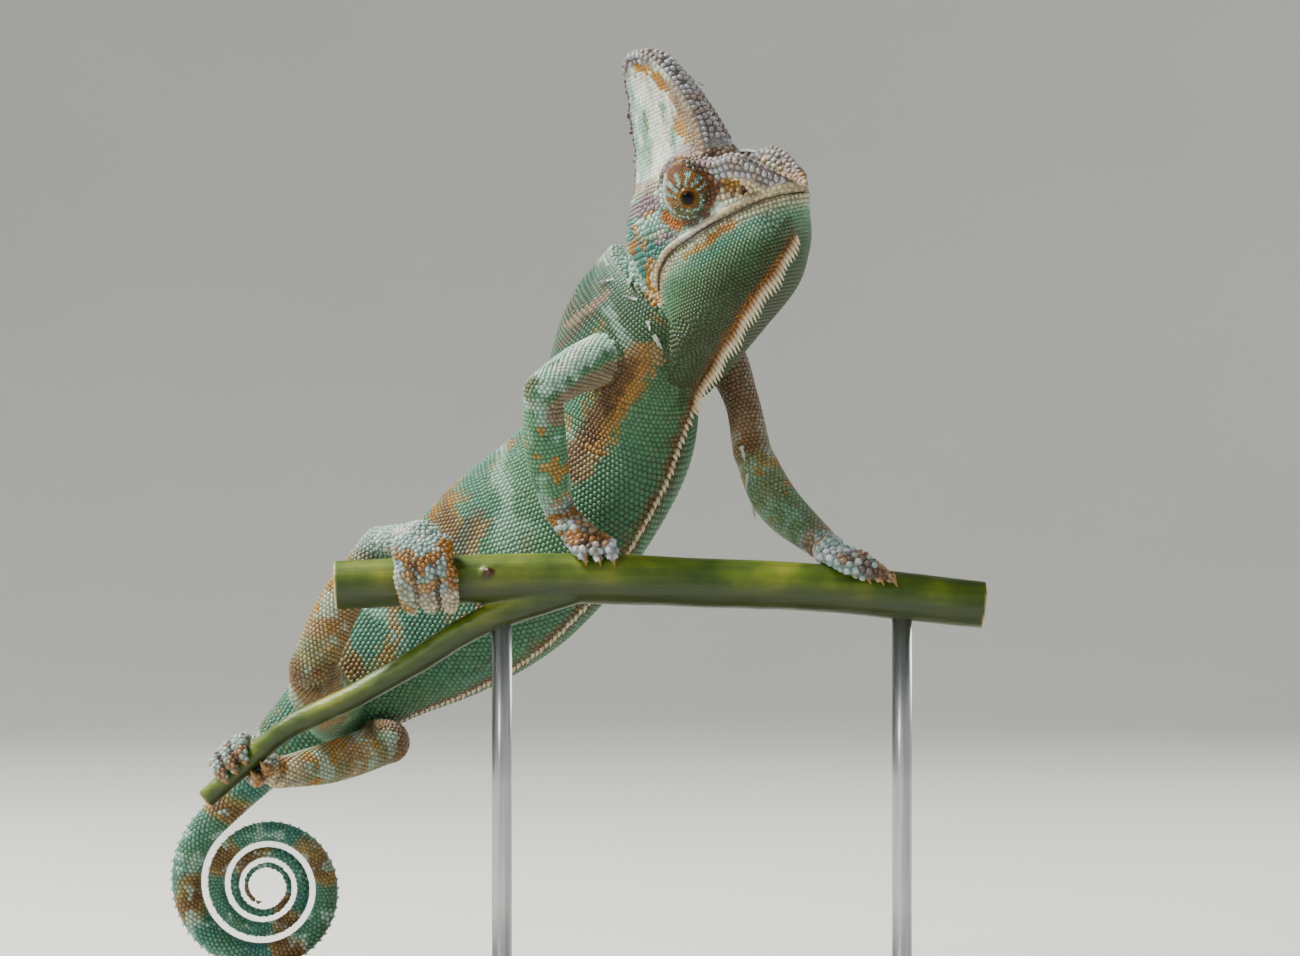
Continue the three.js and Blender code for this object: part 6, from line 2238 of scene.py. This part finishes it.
class Palette:
    """The markings' colours as rows of numbers."""

    def __init__(self):
        chosen = bpy.context.scene.chameleon_colours
        for key in COLOUR_NAMES:
            setattr(self, key, np.array(getattr(chosen, key)))


def props():
    """The sizes chosen in the scene."""
    return bpy.context.scene.chameleon_sizes


def palette():
    """The colours chosen in the scene."""
    return Palette()


class Workshop:
    """What one step makes and a later one needs."""

    surface = None
    places = None


def surface_made():
    """The skin's surface, which the skin step makes."""
    if Workshop.surface is None:
        raise RuntimeError("Make the skin first")
    return Workshop.surface


class CHAMELEON_OT_skin(bpy.types.Operator):
    """Make the skin and set out every scale on it"""

    bl_idname = "chameleon.skin"
    bl_label = "Skin"

    def execute(self, context):
        mesh = skin_mesh()
        surface = Surface(mesh)
        points, normals, sizes, label = scale_places(surface)
        shades = markings(points, label)
        jitter = np.random.default_rng(5).normal(1, 0.1, (len(points), 1))
        shades = np.clip(shades * jitter, 0, 1)
        Workshop.surface = surface
        Workshop.places = (points, normals, sizes, label, shades)
        i, _ = nearest(tree_of(points), surface.points)
        # The bare skin between the scales takes their colour, darkened by the painted shade between scales.
        bare = shades[i] * relief_of(points, label)[1][i][:, None]
        # Painted shade: the bare skin darkens along the mouth's line, less towards its front.
        for side in (-1, 1):
            gap = mouth_gap(surface.points, side)
            front = 1 - 0.8 * ease(MOUTH[0, 0] - 7, MOUTH[0, 0] - 4, in_head(surface.points)[:, 0])
            bare = blend_in(bare, 0.7 * ease(0.95, 0.6, gap) * front, tone("6a543a"))
        paint(mesh, "markings", bare)
        move_points(mesh, surface.points * MM)
        skin = piece("skin", mesh, animal_finish("skin_surface", 0.5, 0.75, 0.00006, 0.1))
        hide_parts(*FLESH_NODES)
        return {"FINISHED"}


class CHAMELEON_OT_scales(bpy.types.Operator):
    """Cover the skin with domed scales, one piece for each region"""

    bl_idname = "chameleon.scales"
    bl_label = "Scales"

    def execute(self, context):
        surface_made()
        points, normals, sizes, label, shades = Workshop.places
        table = neighbour_table(points, 9)
        worn = open_places(points, label)
        tall, dark = relief_of(points, label)
        finish = animal_finish("scale_surface", 0.36, 0.6, 0.00003)
        for name, belongs in COATS.items():
            chosen = np.nonzero(belongs(points, label) & worn)[0]
            mesh = scale_mesh(name, points, normals, sizes, table, chosen, shades, tall, dark)
            coat = piece(name, mesh, finish)
        return {"FINISHED"}


class CHAMELEON_OT_crests(bpy.types.Operator):
    """Set the spines of the throat, belly, back and tail"""

    bl_idname = "chameleon.crests"
    bl_label = "Crests"

    def execute(self, context):
        finish = animal_finish("spine_surface", 0.3, 0.5, 0.00006, 0.2)
        tones = {"crest_throat": ("8a4e10", "dccfae"), "crest_belly": ("6e4a20", "dccfae")}
        for name, (roots, outs, alongs, lengths, widths) in crest_rows().items():
            crest = spines(name, roots, outs, alongs, lengths, widths, 0.35, finish)
            i, gap = nearest(tree_of(roots), points_of(crest.data) / MM)
            low, high = (tone(code) for code in tones.get(name, ("3c6a56", "9cc0a6")))
            share = ease(0.15, 0.6, gap / lengths[i])
            paint(crest.data, "markings", blend_in(np.tile(low, (len(i), 1)), share, high))
        return {"FINISHED"}


class CHAMELEON_OT_mouth(bpy.types.Operator):
    """Draw the dark crease between the lips, a painted shade in the slit between them"""

    bl_idname = "chameleon.mouth"
    bl_label = "Mouth crease"

    def execute(self, context):
        mesh = shell_mesh("mouth_creases", mouth_creases(surface_made()))
        # The crease's dark brown is painted shade in the slit between the lips.
        piece("mouth_creases", mesh, horn_finish("mouth_crease", "3c2818", 0.55, 0.75))
        return {"FINISHED"}


class CHAMELEON_OT_claws(bpy.types.Operator):
    """Set a claw on every toe"""

    bl_idname = "chameleon.claws"
    bl_label = "Claws"

    def execute(self, context):
        finish = horn_finish("claw_horn", "8e6c3c", 0.2, 0.4)
        claws = piece("claws", shell_mesh("claws", claw_shells()), finish)
        return {"FINISHED"}


class CHAMELEON_OT_eyes(bpy.types.Operator):
    """Make both eyeballs"""

    bl_idname = "chameleon.eyes"
    bl_label = "Eyes"

    def execute(self, context):
        finish = eye_finish()
        for label, side in (("right", -1), ("left", 1)):
            eye = piece(f"eyeball_{label}", eye_mesh(side), finish)
            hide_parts(f"eye_{label}")
        return {"FINISHED"}


class CHAMELEON_OT_shed(bpy.types.Operator):
    """Lay the tatters of shed skin"""

    bl_idname = "chameleon.shed"
    bl_label = "Shed skin"

    def execute(self, context):
        mesh = shell_mesh("shed_skin", tatter_shells(surface_made()))
        shed = piece("shed_skin", mesh, horn_finish("shed_white", "c8cfc4", 0.5, 0.7))
        return {"FINISHED"}


class CHAMELEON_OT_perch(bpy.types.Operator):
    """Make the cut branch with its twig"""

    bl_idname = "chameleon.perch"
    bl_label = "Perch"

    def execute(self, context):
        perch = piece("perch", perch_mesh(), bark_finish())
        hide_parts("perch_branch", "perch_twig")
        return {"FINISHED"}


class CHAMELEON_OT_stand(bpy.types.Operator):
    """Make the wooden base and the two rods"""

    bl_idname = "chameleon.stand"
    bl_label = "Stand"

    def execute(self, context):
        base = piece("board", base_mesh(), board_finish(), smooth=False)
        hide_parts("stand_base")
        finish = steel_finish()
        for label, x in ROD_PLACES.items():
            rod = piece(f"rod_{label}", rod_mesh(x), finish)
            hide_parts(f"stand_rod_{label}")
        return {"FINISHED"}


class CHAMELEON_OT_stage(bpy.types.Operator):
    """Set the floor, the lights and the camera"""

    bl_idname = "chameleon.stage"
    bl_label = "Stage"

    def execute(self, context):
        scene = context.scene
        floor = bpy.data.objects.new("studio_floor", bowl_mesh())
        floor.data.materials.append(studio_finish())
        floor.data.polygons.foreach_set("use_smooth", np.ones(len(floor.data.polygons), bool))
        scene.collection.objects.link(floor)
        for name, place, energy, size, shade in LIGHTS:
            lamp = bpy.data.lights.new(name, "AREA")
            lamp.energy, lamp.size, lamp.color = energy, size, shade
            light = bpy.data.objects.new(name, lamp)
            light.location = place
            light.rotation_euler = (Vector(LIGHT_TARGET) - Vector(place)).to_track_quat("-Z", "Y").to_euler()
            scene.collection.objects.link(light)
        world = bpy.data.worlds.new("studio")
        world.use_nodes = True
        set_inputs(world.node_tree.nodes["Background"], Color=SKY_COLOUR, Strength=SKY_STRENGTH)
        scene.world = world
        lens = bpy.data.cameras.new("camera")
        lens.sensor_fit, lens.sensor_width, lens.lens = "HORIZONTAL", SENSOR_WIDTH, FOCAL_LENGTH
        lens.clip_end = 20
        camera = bpy.data.objects.new("camera", lens)
        camera.location = CAMERA_PLACE
        camera.rotation_euler = (math.pi / 2, 0, 0)
        scene.collection.objects.link(camera)
        scene.camera = camera
        return {"FINISHED"}


STEPS = (
    CHAMELEON_OT_stage, CHAMELEON_OT_skin, CHAMELEON_OT_scales, CHAMELEON_OT_crests, CHAMELEON_OT_mouth,
    CHAMELEON_OT_claws, CHAMELEON_OT_eyes, CHAMELEON_OT_shed, CHAMELEON_OT_perch, CHAMELEON_OT_stand,
)


class CHAMELEON_PT_panel(bpy.types.Panel):
    """The steps that build the model, in order, with its sizes and colours"""

    bl_idname = "CHAMELEON_PT_panel"
    bl_label = "Chameleon"
    bl_space_type = "VIEW_3D"
    bl_region_type = "UI"
    bl_category = "Chameleon"

    def draw(self, context):
        for step in STEPS:
            self.layout.operator(step.bl_idname)
        for key in ChameleonSizes.__annotations__:
            self.layout.prop(context.scene.chameleon_sizes, key)
        for key in COLOUR_NAMES:
            self.layout.prop(context.scene.chameleon_colours, key)


CLASSES = (ChameleonSizes, ChameleonColours, *STEPS, CHAMELEON_PT_panel)


def register():
    """Adds the classes and settings."""
    for cls in CLASSES:
        bpy.utils.register_class(cls)
    bpy.types.Scene.chameleon_sizes = bpy.props.PointerProperty(type=ChameleonSizes)
    bpy.types.Scene.chameleon_colours = bpy.props.PointerProperty(type=ChameleonColours)


def unregister():
    """Takes them away again."""
    del bpy.types.Scene.chameleon_colours
    del bpy.types.Scene.chameleon_sizes
    for cls in reversed(CLASSES):
        bpy.utils.unregister_class(cls)


def corners(box):
    """Plain lists of numbers for a box's two corners."""
    return [[float(value) for value in corner] for corner in box]


def main():
    """Makes every piece in order."""
    register()
    for step in STEPS:
        group, name = step.bl_idname.split(".")
        getattr(getattr(bpy.ops, group), name)()


if __name__ == "__main__":
    main()
